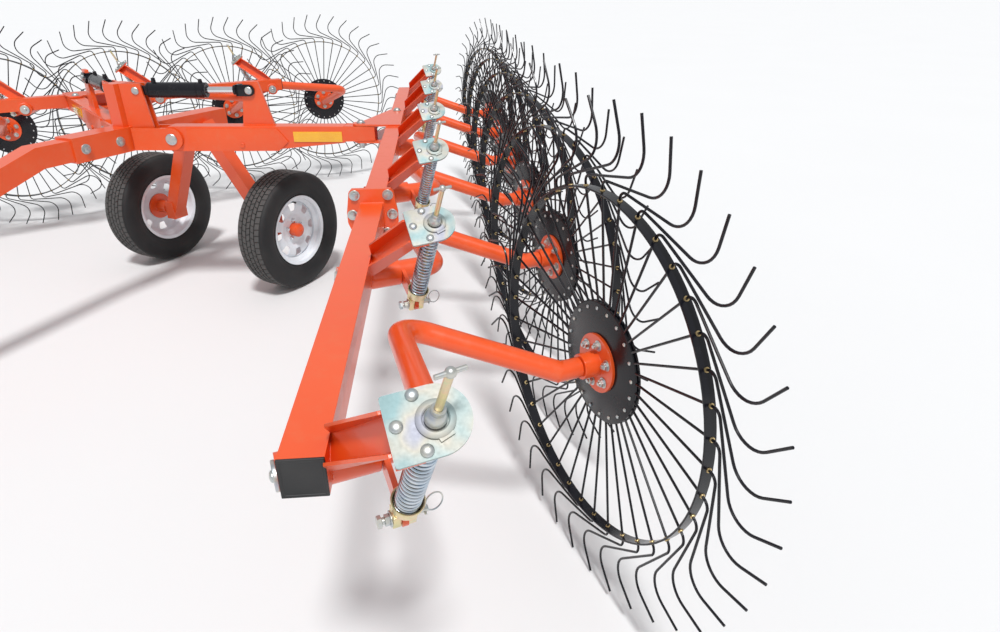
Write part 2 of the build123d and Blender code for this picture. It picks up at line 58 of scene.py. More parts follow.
# The view, the floor and the light
# The camera stands outboard of the left wing's front wheel and looks rearward and down across the wing.
# The floor is one pale sheet, and the light is a wide soft sun with an even sky.
joints = {joint["name"]: joint for joint in frame["joints"]}
first_hub = Vector(joints["rake_spin_left_1"]["pos_m"])
camera_from_hub = Vector((0.435, -1.528, 0.939))
camera_pitch = 26.7
camera_turn = 24.85
focal_pixels = 660.0
picture_width = 1000.0
sensor = 36.0
nearest_seen = 0.05
farthest_seen = 400.0
floor_half = 150.0
floor_tone = 0.74
floor_patches = 1.03
sky_tone = 0.62
towards_sun = Vector((0.35, -0.45, 1.0))
sun_strength = 2.6
sun_spread = 9.0


def in_scene(name, data):
    """A new object of this data, linked to the scene."""
    item = bpy.data.objects.new(name, data)
    bpy.context.scene.collection.objects.link(item)
    return item


camera_data = bpy.data.cameras.new("camera")
camera_data.sensor_width = sensor
camera_data.lens = sensor * focal_pixels / picture_width
camera_data.clip_start = nearest_seen
camera_data.clip_end = farthest_seen
camera = in_scene("camera", camera_data)
camera.location = first_hub + camera_from_hub
camera.rotation_euler = (math.radians(90 - camera_pitch), 0, math.radians(camera_turn))
bpy.context.scene.camera = camera
bpy.context.scene.view_settings.view_transform = "Standard"

sun_data = bpy.data.lights.new("sun", "SUN")
sun_data.energy = sun_strength
sun_data.angle = math.radians(sun_spread)
sun = in_scene("sun", sun_data)
sun.rotation_euler = towards_sun.to_track_quat("Z", "Y").to_euler()


class Wire:
    """One output of a node. Arithmetic on it adds Math nodes to its tree."""

    def __init__(self, tree, socket):
        self.tree = tree
        self.socket = socket

    def math(self, operation, first, second):
        return add_node(self.tree, "ShaderNodeMath", {"operation": operation}, {0: first, 1: second})

    def __add__(self, other):
        return self.math("ADD", self, other)

    def __sub__(self, other):
        return self.math("SUBTRACT", self, other)

    def __rsub__(self, other):
        return self.math("SUBTRACT", other, self)

    def __mul__(self, other):
        return self.math("MULTIPLY", self, other)

    def __truediv__(self, other):
        return self.math("DIVIDE", self, other)

    __radd__ = __add__
    __rmul__ = __mul__


def add_node(tree, kind, settings=None, inputs=None, output=0):
    """Adds a node, sets it up, then fills or links its sockets. Gives the output that is asked for."""
    node = tree.nodes.new(kind)
    for name, value in (settings or {}).items():
        if name == "stops":
            ramp = node.color_ramp.elements
            while len(ramp) < len(value):
                ramp.new(1.0)
            for stop, (position, shade) in zip(ramp, value):
                stop.position = position
                stop.color = shade if hasattr(shade, "__len__") else (shade, shade, shade, 1)
        else:
            setattr(node, name, value)
    for name, value in (inputs or {}).items():
        if isinstance(value, Wire):
            tree.links.new(value.socket, node.inputs[name])
        else:
            node.inputs[name].default_value = value
    return Wire(tree, node.outputs[output]) if len(node.outputs) else None


def empty_material(name):
    """A material with no nodes yet, and its tree."""
    material = bpy.data.materials.new(name)
    material.use_nodes = True
    material.node_tree.nodes.clear()
    return material, material.node_tree


def end_material(tree, inputs):
    """The surface shader and the output of a material."""
    shader = add_node(tree, "ShaderNodeBsdfPrincipled", None, inputs)
    add_node(tree, "ShaderNodeOutputMaterial", None, {"Surface": shader})


def object_noise(tree, scale, detail=4.0, roughness=0.5):
    """Cloudy values from 0 to 1 over a piece, with scale in features a metre."""
    place = add_node(tree, "ShaderNodeTexCoord", None, None, "Object")
    return add_node(tree, "ShaderNodeTexNoise", None,
                    {"Vector": place, "Scale": scale, "Detail": detail, "Roughness": roughness})


def ramp_of(tree, value, stops):
    """A colour ramp read at a value."""
    return add_node(tree, "ShaderNodeValToRGB", {"stops": stops}, {"Fac": value})


def mix_colours(tree, share, first, second):
    """Two colours mixed by a share from 0 to 1."""
    return add_node(tree, "ShaderNodeMix", {"data_type": "RGBA"}, {0: share, 6: first, 7: second}, 2)


def bump_of(tree, height, distance, strength=1.0):
    """A normal from a height, with distance as the full height in metres."""
    return add_node(tree, "ShaderNodeBump", None,
                    {"Height": height, "Distance": distance, "Strength": strength})


floor_material, tree = empty_material("pale_floor")
floor_cloud = object_noise(tree, 0.6)
floor_tones = [(tone, tone, tone, 1) for tone in (floor_tone, floor_tone * floor_patches)]
floor_colour = mix_colours(tree, floor_cloud, *floor_tones)
end_material(tree, {"Base Color": floor_colour, "Roughness": 0.85})
floor_mesh = bpy.data.meshes.new("floor")
floor_corners = [(x * floor_half, y * floor_half, 0) for x, y in ((-1, -1), (1, -1), (1, 1), (-1, 1))]
floor_mesh.from_pydata(floor_corners, [], [(0, 1, 2, 3)])
floor_mesh.materials.append(floor_material)
in_scene("floor", floor_mesh)

world = bpy.data.worlds.new("studio")
bpy.context.scene.world = world
world.use_nodes = True
tree = world.node_tree
tree.nodes.clear()
seen_directly = add_node(tree, "ShaderNodeLightPath", None, None, "Is Camera Ray")
sky = add_node(tree, "ShaderNodeBackground", None, {"Color": (0.95, 0.97, 1.0, 1), "Strength": sky_tone})
backdrop = add_node(tree, "ShaderNodeBackground", None, {"Color": (0.86, 0.87, 0.88, 1), "Strength": 1.0})
both = add_node(tree, "ShaderNodeMixShader", None, {0: seen_directly, 1: sky, 2: backdrop})
add_node(tree, "ShaderNodeOutputWorld", None, {"Surface": both})

# The centre frame, the drawbar and the jack
# Welded square tube and plate, all sprayed in one gloss orange-red, with the jack's inner leg in bright zinc.
# Each is the frame's own shape with its mill edges rounded as a sprayed coat leaves them.
orange = (0.82, 0.098, 0.012, 1)
orange_deep = (0.72, 0.070, 0.009, 1)
orange_dusty = (0.62, 0.22, 0.10, 1)
edge_round = 0.0022
leg_edge_round = 0.001
sharp_angle = 32.0
merge_distance = 0.00003
flat_angle = 1.2

orange_paint, tree = empty_material("gloss_orange_paint")
paint_cloud = object_noise(tree, 3.0)
dust = ramp_of(tree, object_noise(tree, 26.0, 8.0, 0.65), [(0.5, 0.0), (0.82, 0.22)])
dusty = mix_colours(tree, dust, mix_colours(tree, paint_cloud, orange, orange_deep), orange_dusty)
end_material(tree, {"Base Color": dusty, "Roughness": 0.30 + dust * 0.5, "Coat Weight": 0.30,
                    "Coat Roughness": 0.12,
                    "Normal": bump_of(tree, object_noise(tree, 420.0, 2.0), 0.00025, 0.35)})


def plated_steel(name, cloud, grain, stops, smoothest, spread):
    """Plated metal with cloudy tints and a fine grain, each given as a noise's scale, detail and roughness."""
    material, tree = empty_material(name)
    tints = ramp_of(tree, object_noise(tree, *cloud), stops)
    fine = object_noise(tree, *grain)
    end_material(tree, {"Base Color": tints, "Metallic": 1.0, "Roughness": smoothest + fine * spread,
                        "Normal": bump_of(tree, fine, 0.0002, 0.25)})
    return material


zinc_plate = plated_steel("bright_zinc_plate", (34.0, 3.0, 0.55), (160.0, 5.0, 0.6), [
    (0.34, (0.44, 0.50, 0.53, 1)), (0.47, (0.58, 0.60, 0.59, 1)), (0.56, (0.62, 0.61, 0.55, 1)),
    (0.68, (0.50, 0.53, 0.58, 1))], 0.28, 0.22)


def add_piece(name, mesh, finish, body, slot, *replaced):
    """Puts a mesh in the scene with its finish, on a body, in place of the frame nodes that it stands for."""
    mesh.materials.clear()
    mesh.materials.append(finish)
    piece = in_scene(name, mesh)
    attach(piece, body)
    if replaced:
        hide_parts(*replaced)


def settled_mesh(piece):
    """The plain mesh of an object with its modifiers done. The object is removed."""
    bpy.context.view_layer.update()
    evaluated = piece.evaluated_get(bpy.context.evaluated_depsgraph_get())
    mesh = bpy.data.meshes.new_from_object(evaluated)
    bpy.data.objects.remove(piece)
    return mesh


def bevelled(mesh, width, segments=2, angle=sharp_angle):
    """A smooth mesh with each edge that is sharper than the angle rounded."""
    mesh.shade_smooth()
    piece = in_scene("bevelled", mesh)
    bevel = piece.modifiers.new("edges", "BEVEL")
    bevel.width = width
    bevel.segments = segments
    bevel.limit_method = "ANGLE"
    bevel.angle_limit = math.radians(angle)
    bevel.harden_normals = True
    return settled_mesh(piece)


def dress(node, name, finish, slot, width=edge_round, reshape=None):
    """A frame node's shape, cleaned, rounded and in its finish, after an optional change to its points."""
    work = bmesh.new()
    work.from_mesh(frame["nodes"][node].data)
    if reshape:
        reshape(work)
    bmesh.ops.remove_doubles(work, verts=work.verts, dist=merge_distance)
    bmesh.ops.dissolve_limit(work, angle_limit=math.radians(flat_angle), verts=work.verts, edges=work.edges)
    mesh = bpy.data.meshes.new(node + "_rounded")
    work.to_mesh(mesh)
    work.free()
    if "custom_normal" in mesh.attributes:
        mesh.attributes.remove(mesh.attributes["custom_normal"])
    add_piece(name, bevelled(mesh, width), finish, frame["nodes"][node]["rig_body"], slot, node)


dress("centre_frame", "spine_and_axle_legs", orange_paint, "frame_paint")
dress("drawbar", "drawbar_beam", orange_paint, "frame_paint")
dress("jack_sleeve", "jack_tube", orange_paint, "frame_paint")
dress("jack_leg", "jack_inner_leg", zinc_plate, "bright_zinc", leg_edge_round)

# The two wings as they are set out
# A wing is worked on from its beam's front end: x points outboard, y rearward along the beam and z up.
# The right wing is the left one's mirror image, so its pieces are mirrored shapes at mirrored places.
SIDES = ("left", "right")
STATIONS = range(6)
station_pitch = 0.800
first_station = 0.060
hub_out = 0.623
hub_behind = 0.641
beam_height = 0.955
beam_half = 0.038
pivot_height = 0.927
wheel_turn = math.radians(19.0)

last_hub = Vector(joints["rake_spin_left_6"]["pos_m"])
up = Vector((0, 0, 1))
along = (last_hub - first_hub).normalized()
outboard = along.cross(up)
front_end = first_hub - outboard * hub_out - along * (first_station + hub_behind)
left_wing = Matrix((outboard, along, up)).transposed().to_4x4()
left_wing.translation = (front_end.x, front_end.y, 0)
station_pivots = [Vector((0, first_station + station_pitch * i, pivot_height)) for i in STATIONS]
pivot_axis = Vector((math.cos(wheel_turn), math.sin(wheel_turn), 0))
mirrored = Matrix.Scale(-1, 4, (1, 0, 0))
upside_down = Matrix.Rotation(math.pi, 4, "X")


def at(x, y, z):
    """A place moved from the origin and not turned."""
    return Matrix.Translation((x, y, z))


def turned_to(origin, z_axis, x_hint):
    """A place with its z along an axis and its x near a hint."""
    z = Vector(z_axis).normalized()
    x = Vector(x_hint)
    x = (x - z * x.dot(z)).normalized()
    place = Matrix((x, z.cross(x), z)).transposed().to_4x4()
    place.translation = origin
    return place


def on_left_wing(x, y, z, z_axis, x_hint=(0, 0, 1)):
    """A place on the left wing with its z along one of the wing's directions."""
    return left_wing @ turned_to((x, y, z), z_axis, x_hint)


def at_stations(origin, z_axis, x_hint=(1, 0, 0)):
    """The same place at each station of the left wing, with origin from the station's pivot."""
    place = turned_to(origin, z_axis, x_hint)
    return [left_wing @ Matrix.Translation(pivot) @ place for pivot in station_pivots]


def smooth_by_angle(mesh):
    """Smooth shading, broken where faces meet more sharply than the angle."""
    mesh.shade_smooth()
    mesh.set_sharp_from_angle(angle=math.radians(sharp_angle))


def cleaned(work):
    """The mesh of a bmesh, with its doubles merged and its faces pointing outwards."""
    bmesh.ops.remove_doubles(work, verts=work.verts, dist=1e-6)
    bmesh.ops.dissolve_degenerate(work, edges=work.edges, dist=1e-7)
    bmesh.ops.recalc_face_normals(work, faces=work.faces)
    mesh = bpy.data.meshes.new("shape")
    work.to_mesh(mesh)
    work.free()
    smooth_by_angle(mesh)
    return mesh


def turned(outline, steps):
    """A solid of revolution about z, from a closed outline of radius and height."""
    work = bmesh.new()
    rings = []
    for i in range(steps):
        angle = 2 * math.pi * i / steps
        rings.append([work.verts.new((r * math.cos(angle), r * math.sin(angle), z)) for r, z in outline])
    for i, ring in enumerate(rings):
        following = rings[(i + 1) % steps]
        for j in range(len(outline)):
            k = (j + 1) % len(outline)
            work.faces.new((ring[j], following[j], following[k], ring[k]))
    return cleaned(work)


def gathered(*parts):
    """One mesh from several, each alone or paired with its place. A mirrored one is turned right side out."""
    work = bmesh.new()
    for part in parts:
        shape, place = part if isinstance(part, tuple) else (part, Matrix())
        placed = shape.copy()
        placed.transform(place)
        if place.determinant() < 0:
            placed.flip_normals()
        work.from_mesh(placed)
        bpy.data.meshes.remove(placed)
    mesh = bpy.data.meshes.new("shape")
    work.to_mesh(mesh)
    work.free()
    smooth_by_angle(mesh)
    return mesh


def bar(start, end, radius, steps=16, chamfer=0.0008):
    """A round bar with eased ends from one point to another."""
    run = Vector(end) - Vector(start)
    length = run.length
    mesh = turned([(0, 0), (radius - chamfer, 0), (radius, chamfer), (radius, length - chamfer),
                   (radius - chamfer, length), (0, length)], steps)
    any_side = (0.31, 0.52, 0.79)
    mesh.transform(turned_to(start, run, any_side))
    return mesh


def node_tree(name, **inputs):
    """A geometry tree with named inputs. Gives the tree and each input as a wire."""
    tree = bpy.data.node_groups.new(name, "GeometryNodeTree")
    tree.interface.new_socket(name="Geometry", in_out="OUTPUT", socket_type="NodeSocketGeometry")
    for label, kind in inputs.items():
        tree.interface.new_socket(name=label, in_out="INPUT", socket_type="NodeSocket" + kind)
    source = tree.nodes.new("NodeGroupInput")
    return tree, {label: Wire(tree, source.outputs[label]) for label in inputs}


def end_tree(tree, shapes, finish):
    """Makes any instances real, gives the shapes their finish and ends the tree."""
    real = add_node(tree, "GeometryNodeRealizeInstances", None, {"Geometry": shapes})
    painted = add_node(tree, "GeometryNodeSetMaterial", None, {"Geometry": real, "Material": finish})
    add_node(tree, "NodeGroupOutput", None, {"Geometry": painted})


def run_tree(tree, mesh, **values):
    """The plain mesh that a tree makes from a mesh and its named inputs."""
    piece = in_scene("work", mesh)
    modifier = piece.modifiers.new("tree", "NODES")
    modifier.node_group = tree
    for item in tree.interface.items_tree:
        if item.in_out == "INPUT" and item.name in values:
            modifier[item.identifier] = values[item.name]
    return settled_mesh(piece)


# Sets a template out on points, each turned as its own attribute says
set_out, sockets = node_tree("set_out", Points="Geometry", Template="Object", Finish="Material")
template = add_node(set_out, "GeometryNodeObjectInfo", {"transform_space": "ORIGINAL"},
                    {"Object": sockets["Template"], "As Instance": True}, "Geometry")
own_turn = add_node(set_out, "GeometryNodeInputNamedAttribute", {"data_type": "QUATERNION"}, {"Name": "turn"})
copies = add_node(set_out, "GeometryNodeInstanceOnPoints", None,
                  {"Points": sockets["Points"], "Instance": template, "Rotation": own_turn})
end_tree(set_out, copies, sockets["Finish"])


def copies_of(mesh, places, finish):
    """One mesh of a template's copies at rigid places."""
    points = bpy.data.meshes.new("points")
    points.from_pydata([place.translation for place in places], [], [])
    turns = points.attributes.new("turn", "QUATERNION", "POINT")
    for item, place in zip(turns.data, places):
        item.value = place.to_quaternion()
    holder = in_scene("template", mesh)
    result = run_tree(set_out, points, Template=holder, Finish=finish)
    bpy.data.objects.remove(holder)
    smooth_by_angle(result)
    return result


def on_wings(name, mesh, places, finish, slot, *stems):
    """Copies of a template on both wings, one piece a side, in place of the named frame nodes."""
    for side in SIDES:
        shape, side_places = mesh, places
        if side == "right":
            shape = gathered((mesh, mirrored))
            side_places = [mirrored @ place @ mirrored for place in places]
        add_piece(f"{name}_{side}", copies_of(shape, side_places, finish), finish, "wing_" + side, slot,
                  *[f"{stem}_{side}" for stem in stems])


def on_sides(name, mesh, place, finish, slot, body, *stems):
    """One shape on each side of the machine, placed on the left and mirrored to the right."""
    for side in SIDES:
        side_place = place if side == "left" else mirrored @ place
        add_piece(f"{name}_{side}", gathered((mesh, side_place)), finish, f"{body}_{side}", slot,
                  *[f"{stem}_{side}" for stem in stems])


def plate_of(outline, thickness, edge=0.0012):
    """A flat plate from an outline in x and y, standing on z = 0, with its edges eased."""
    work = bmesh.new()
    low_ring = [work.verts.new((x, y, 0)) for x, y in outline]
    top_ring = [work.verts.new((x, y, thickness)) for x, y in outline]
    low = work.faces.new(low_ring)
    top = work.faces.new(top_ring)
    for i in range(len(outline)):
        j = (i + 1) % len(outline)
        work.faces.new((low_ring[i], low_ring[j], top_ring[j], top_ring[i]))
    eased = list(top.edges) + list(low.edges)
    bmesh.ops.bevel(work, geom=eased, offset=edge, segments=2, profile=0.7, affect="EDGES")
    return cleaned(work)


def round_corners(points, radius, steps=4):
    """A closed outline with each corner turned into a curve."""
    outline = []
    for i, point in enumerate(points):
        corner = Vector(point)
        before = (Vector(points[i - 1]) - corner).normalized() * radius
        after = (Vector(points[(i + 1) % len(points)]) - corner).normalized() * radius
        for k in range(steps + 1):
            share = k / steps
            outline.append(tuple(corner + before * (1 - share) ** 2 + after * share ** 2))
    return outline


def wire_along(tree, line, radius, sides, thickness=1.0):
    """A round wire run along a curve, with closed ends."""
    section = add_node(tree, "GeometryNodeCurvePrimitiveCircle", None, {"Resolution": sides, "Radius": radius})
    return add_node(tree, "GeometryNodeCurveToMesh", None,
                    {"Curve": line, "Profile Curve": section, "Scale": thickness, "Fill Caps": True})


# Runs a rippled weld bead along a line
ripple_length = 0.0022
ripple_share = 0.12
thinnest_share = 0.82
bead_tree, sockets = node_tree("weld_bead", Line="Geometry", Width="Float", Finish="Material")
line = add_node(bead_tree, "GeometryNodeMeshToCurve", None, {"Mesh": sockets["Line"]})
line = add_node(bead_tree, "GeometryNodeResampleCurve", {"mode": "LENGTH"},
                {"Curve": line, "Length": ripple_length})
ring_number = add_node(bead_tree, "GeometryNodeInputIndex")
ripple = ring_number.math("MODULO", ring_number, 3.0) * ripple_share + thinnest_share
end_tree(bead_tree, wire_along(bead_tree, line, sockets["Width"], 6, ripple), sockets["Finish"])


def weld_bead(points, closed=False, width=0.0032):
    """A weld bead through points, painted over with what it joins."""
    joins = [(i, i + 1) for i in range(len(points) - 1)]
    if closed:
        joins.append((len(points) - 1, 0))
    run = bpy.data.meshes.new("line")
    run.from_pydata([tuple(point) for point in points], joins, [])
    return run_tree(bead_tree, run, Width=width, Finish=orange_paint)


for side in SIDES:
    dress(f"crank_arms_{side}", f"crank_pipes_{side}", orange_paint, "frame_paint")

# A thick collar on each crank's spindle, between the pipe and the wheel's hub
hub_from_pivot = Vector((hub_out, hub_behind, first_hub.z - pivot_height))
collar_radius = 0.0285
collar_start = -0.108
collar_end = -0.0335
collar = bar((0, 0, collar_start), (0, 0, collar_end), collar_radius, 36, 0.002)
on_wings("spindle_collars", collar, at_stations(hub_from_pivot, pivot_axis), orange_paint, "frame_paint")

# The bolts
# Zinc-plated hexagon bolts, nuts and domed coach bolts, made here and set out wherever the machine has them.
# A head is a six-sided lathe shape with its corners chamfered, on a round washer.
washer_height = 0.0025


def hexagon(across_flats, height, washer=True):
    """A chamfered hexagon head on a washer, seated at z = 0 and pointing along z."""
    corner = across_flats / math.sqrt(3)
    chamfer = corner - across_flats / 2
    seat = washer_height if washer else 0.0
    top = seat + height
    head = turned([(0, seat), (corner - chamfer * 0.4, seat), (corner, seat + chamfer * 0.25),
                   (corner, top - chamfer * 0.7), (across_flats * 0.46, top), (0, top)], 6)
    if not washer:
        return head
    rim = across_flats * 0.82
    washer_outline = [(0, 0), (rim - 0.0004, 0), (rim, 0.0004), (rim, seat - 0.0006), (rim - 0.0006, seat),
                      (0, seat)]
    return gathered(head, turned(washer_outline, 24))


def nut_on_bolt(across_flats, height):
    """A nut on its washer with the bolt's end through it."""
    thread = across_flats * 0.31
    end = height + washer_height + across_flats * 0.3
    shank = turned([(0, 0), (thread, 0), (thread, end - 0.001), (thread - 0.001, end), (0, end)], 16)
    return gathered(hexagon(across_flats, height), shank)


def arc_of(radius, height, first, last, steps):
    """Points on a round or oval arc about the origin, from one angle to another in degrees."""
    angles = [math.radians(first + (last - first) * i / steps) for i in range(steps + 1)]
    return [(radius * math.cos(angle), height * math.sin(angle)) for angle in angles]


def domed_head(radius, height, steps=24):
    """A coach bolt's round head, seated at z = 0."""
    edge = 0.0012
    dome = [(r, edge + z) for r, z in arc_of(radius, height - edge, 0, 90, 6)]
    return turned([(0, 0), (radius, 0)] + dome[:-1] + [(0, height)], steps)


# The bolted and welded joints
# Bolted flanges join each beam's halves, knuckle pins join the wings to the arms, and bolts hold the drawbar.
# Rippled weld beads run round the flanges, the pivot housings and the knuckle plates.
joint_place = 1.348
joint_half = 0.010
flange_gap = 0.0002
flange_edge_round = 0.0016
joint_bolt = 0.022
joint_head_height = 0.0095
joint_nut_height = 0.0125
knuckle_plate = 0.010
knuckle_pin = (-0.170, 2.733)
knuckle_top = beam_height + beam_half + knuckle_plate
knuckle_foot = beam_height - beam_half - knuckle_plate
knuckle_welds = (2.673, 3.142)
knuckle_nut = 0.036
knuckle_nut_height = 0.018
pin_bolt_place = 3.092
gusset_out = 0.0305
gusset_thickness = 0.006
housing_weld_radius = 0.0382
housing_weld_steps = 28
seam_gap = 0.02
# Half of the flange's outline, across and up from the beam's middle
FLANGE_EDGE = [
    (0.064, 0.085), (0.074, 0.074), (0.085, 0.006), (0.085, -0.030), (0.067, -0.077), (0.057, -0.085)]
JOINT_BOLTS = [(0.055, 0.065), (0.066, -0.002), (0.045, -0.067), (0.016, -0.067)]

flange_outline = [(z, x) for x, z in FLANGE_EDGE] + [(z, -x) for x, z in reversed(FLANGE_EDGE)]
flange = plate_of(flange_outline, joint_half - flange_gap, flange_edge_round)
flanges = gathered((flange, at(0, 0, flange_gap)), (flange, at(0, 0, -joint_half)))
flange_places = [on_left_wing(0, joint_place, beam_height, (0, -1, 0))]
on_wings("joint_flanges", flanges, flange_places, orange_paint, "frame_paint")
bolts_across = [(across * x, beam_height + z) for x, z in JOINT_BOLTS for across in (1, -1)]
heads = [on_left_wing(x, joint_place - joint_half, z, (0, -1, 0)) for x, z in bolts_across]
on_wings("joint_bolt_heads", hexagon(joint_bolt, joint_head_height), heads, zinc_plate, "bright_zinc")
nuts = [on_left_wing(x, joint_place + joint_half, z, (0, 1, 0)) for x, z in bolts_across]
on_wings("joint_bolt_nuts", nut_on_bolt(joint_bolt, joint_nut_height), nuts, zinc_plate, "bright_zinc")

gusset_outline = [(0, 0.003), (0.072, 0.003), (0.072, -0.008), (0.012, -0.040), (0, -0.040)]
gusset_places = [on_left_wing(x + gusset_thickness / 2, joint_place - joint_half, beam_height - beam_half,
                              (-1, 0, 0), (0, -1, 0)) for x in (-gusset_out, gusset_out)]
gusset = plate_of(gusset_outline, gusset_thickness)
on_wings("joint_gussets", gusset, gusset_places, orange_paint, "frame_paint")

pin_places = (knuckle_pin, (0, pin_bolt_place))
pin_collar = turned([(0, 0), (0.0225, 0), (0.0225, 0.0030), (0.0215, 0.0040), (0, 0.0040)], 40)
pin_dome = domed_head(0.0185, 0.0130)
pin_head = gathered(pin_collar, (pin_dome, at(0, 0, 0.0038)))
pin_heads = [on_left_wing(x, y, knuckle_top, up, (1, 0, 0)) for x, y in pin_places]
on_wings("knuckle_pin_heads", pin_head, pin_heads, zinc_plate, "bright_zinc")
pin_feet = [on_left_wing(x, y, knuckle_foot, -up, (1, 0, 0)) for x, y in pin_places]
on_wings("knuckle_pin_nuts", nut_on_bolt(knuckle_nut, knuckle_nut_height), pin_feet, zinc_plate, "bright_zinc")

beam_corners = [(x * beam_half, z * beam_half) for x, z in ((1, 1), (-1, 1), (-1, -1), (1, -1))]
joint_beads = []
for y in (joint_place - joint_half, joint_place + joint_half):
    joint_beads.append(weld_bead([Vector((x, y, beam_height + z)) for x, z in beam_corners], True))
for z in (beam_height + beam_half, beam_height - beam_half):
    joint_beads.append(weld_bead([Vector((-beam_half, y, z)) for y in knuckle_welds]))
for pivot in station_pivots:
    for face in (beam_half, -beam_half):
        middle = pivot + pivot_axis * (face / pivot_axis.x)
        seam = []
        for k in range(housing_weld_steps):
            angle = 2 * math.pi * k / housing_weld_steps
            reach = housing_weld_radius * Vector((0, math.cos(angle) / pivot_axis.x, math.sin(angle)))
            if (middle + reach).z > beam_height - beam_half:
                seam.append(middle + reach)
        first = next(k for k in range(len(seam)) if (seam[k] - seam[k - 1]).length > seam_gap)
        joint_beads.append(weld_bead(seam[first:] + seam[:first]))
on_sides("wing_weld_beads", gathered(*joint_beads), left_wing, orange_paint, "frame_paint", "wing")

spine = frame["nodes"]["centre_frame"]
spine_ends = [(spine.matrix_world @ Vector(corner)).y for corner in spine.bound_box]
spine_half = 0.060
spine_level = joints["arm_lift_left"]["pos_m"][2]
drawbar_bolt_places = (0.060, 0.250)
drawbar_bolt = 0.030
drawbar_head = hexagon(drawbar_bolt, 0.0130)
drawbar_nut = nut_on_bolt(drawbar_bolt, 0.0165)
drawbar_bolts = []
for place in drawbar_bolt_places:
    y = min(spine_ends) + place
    drawbar_bolts.append((drawbar_head, turned_to((spine_half, y, spine_level), (1, 0, 0), up)))
    drawbar_bolts.append((drawbar_nut, turned_to((-spine_half, y, spine_level), (-1, 0, 0), up)))
add_piece("drawbar_bolts", gathered(*drawbar_bolts), zinc_plate, "machine", "bright_zinc")

# The cross arms and rams
# Each arm is a tapered box with arrow-ended side plates, a yellow reflector and an upright ram bracket.
# The ram has a black barrel with a screwed gland, and a chrome rod whose black fork is pinned to the bracket.
arm_pivot = Vector(joints["arm_lift_left"]["pos_m"])
knuckle_pivot = Vector(joints["wing_swing_left"]["pos_m"])
arm_along = Vector((knuckle_pivot.x - arm_pivot.x, knuckle_pivot.y - arm_pivot.y, 0)).normalized()
# An arm's own axes are x along the arm from its hinge, y up and z sideways
left_arm = turned_to(arm_pivot, arm_along.cross(up), arm_along)
arm_reach = (knuckle_pivot - arm_pivot).dot(arm_along)
arm_half = 0.043
arm_root = 0.063
low_corner = arm_reach * 0.45
tip_start = arm_reach - 0.084
tip_end = arm_reach + 0.076
tip_top = 0.0615
tip_foot = -0.0120
belly_end = -0.0210
side_plate = 0.008
plate_sink = 0.0005
bracket_start = 0.366
bracket_end = 0.530
bracket_half = 0.011
plate_boss = (0.360, -0.031)
reflector_start = 0.630
reflector_end = 0.882
reflector_foot = -0.0155
reflector_top = 0.0370
reflector_sink = 0.001
reflector_out = 0.0042
reflector_round = 0.0022
ram_level = 0.237
ram_base = (Vector(joints["ram_tilt_left"]["pos_m"]) - arm_pivot).dot(arm_along)
ram_eye = 0.427
ram_pin = 0.0125
pin_head_radius = 0.0185
eye_radius = 0.028
barrel_start = ram_base + 0.052
barrel_length = 0.300
barrel_radius = 0.038
gland_bore = 0.0165
port_foot = 0.030
chrome_radius = 0.016
chrome_start = barrel_start + 0.124
fork_depth = 0.052
fork_back = 0.014
fork_gap = 0.012
fork_cheek = 0.012
fork_collar = 0.015
ram_lug_half = 0.030
lift_lug_half = 0.058
lift_pin = 0.020
lift_pin_head = 0.0290
lying = Matrix.Rotation(math.pi / 2, 4, "Y")
on_top = Matrix.Rotation(-math.pi / 2, 4, "X")

amber, tree = empty_material("amber_reflector")
facets = object_noise(tree, 700.0, 1.0)
depth_cloud = object_noise(tree, 12.0, 2.0)
amber_colour = mix_colours(tree, depth_cloud, (0.72, 0.30, 0.006, 1), (0.93, 0.52, 0.010, 1))
end_material(tree, {"Base Color": amber_colour, "Roughness": 0.16 + facets * 0.2, "Coat Weight": 0.8,
                    "Coat Roughness": 0.05, "Normal": bump_of(tree, facets, 0.0005, 0.5)})

black_gloss, tree = empty_material("black_gloss_paint")
worn = ramp_of(tree, object_noise(tree, 24.0, 6.0, 0.6), [(0.55, 0.0), (0.85, 0.5)])
black_colour = mix_colours(tree, worn, (0.004, 0.004, 0.007, 1), (0.022, 0.021, 0.023, 1))
end_material(tree, {"Base Color": black_colour, "Roughness": 0.24 + worn * 0.4, "Specular IOR Level": 0.32,
                    "Coat Weight": 0.10, "Coat Roughness": 0.08})

chrome, tree = empty_material("polished_chrome")
haze = object_noise(tree, 30.0, 4.0)
end_material(tree, {"Base Color": mix_colours(tree, haze, (0.80, 0.81, 0.83, 1), (0.68, 0.69, 0.71, 1)),
                    "Metallic": 1.0, "Roughness": 0.05 + haze * 0.09})


def cube_between(low, high):
    """A bmesh block between two corners."""
    work = bmesh.new()
    bmesh.ops.create_cube(work, size=1.0)
    bmesh.ops.scale(work, vec=Vector(high) - Vector(low), verts=work.verts)
    bmesh.ops.translate(work, vec=(Vector(high) + Vector(low)) / 2, verts=work.verts)
    return work


def rounded_block(low, high, width):
    """A block between two corners with its edges rounded."""
    work = cube_between(low, high)
    bmesh.ops.bevel(work, geom=list(work.edges), offset=width, segments=2, profile=0.7, affect="EDGES")
    return cleaned(work)


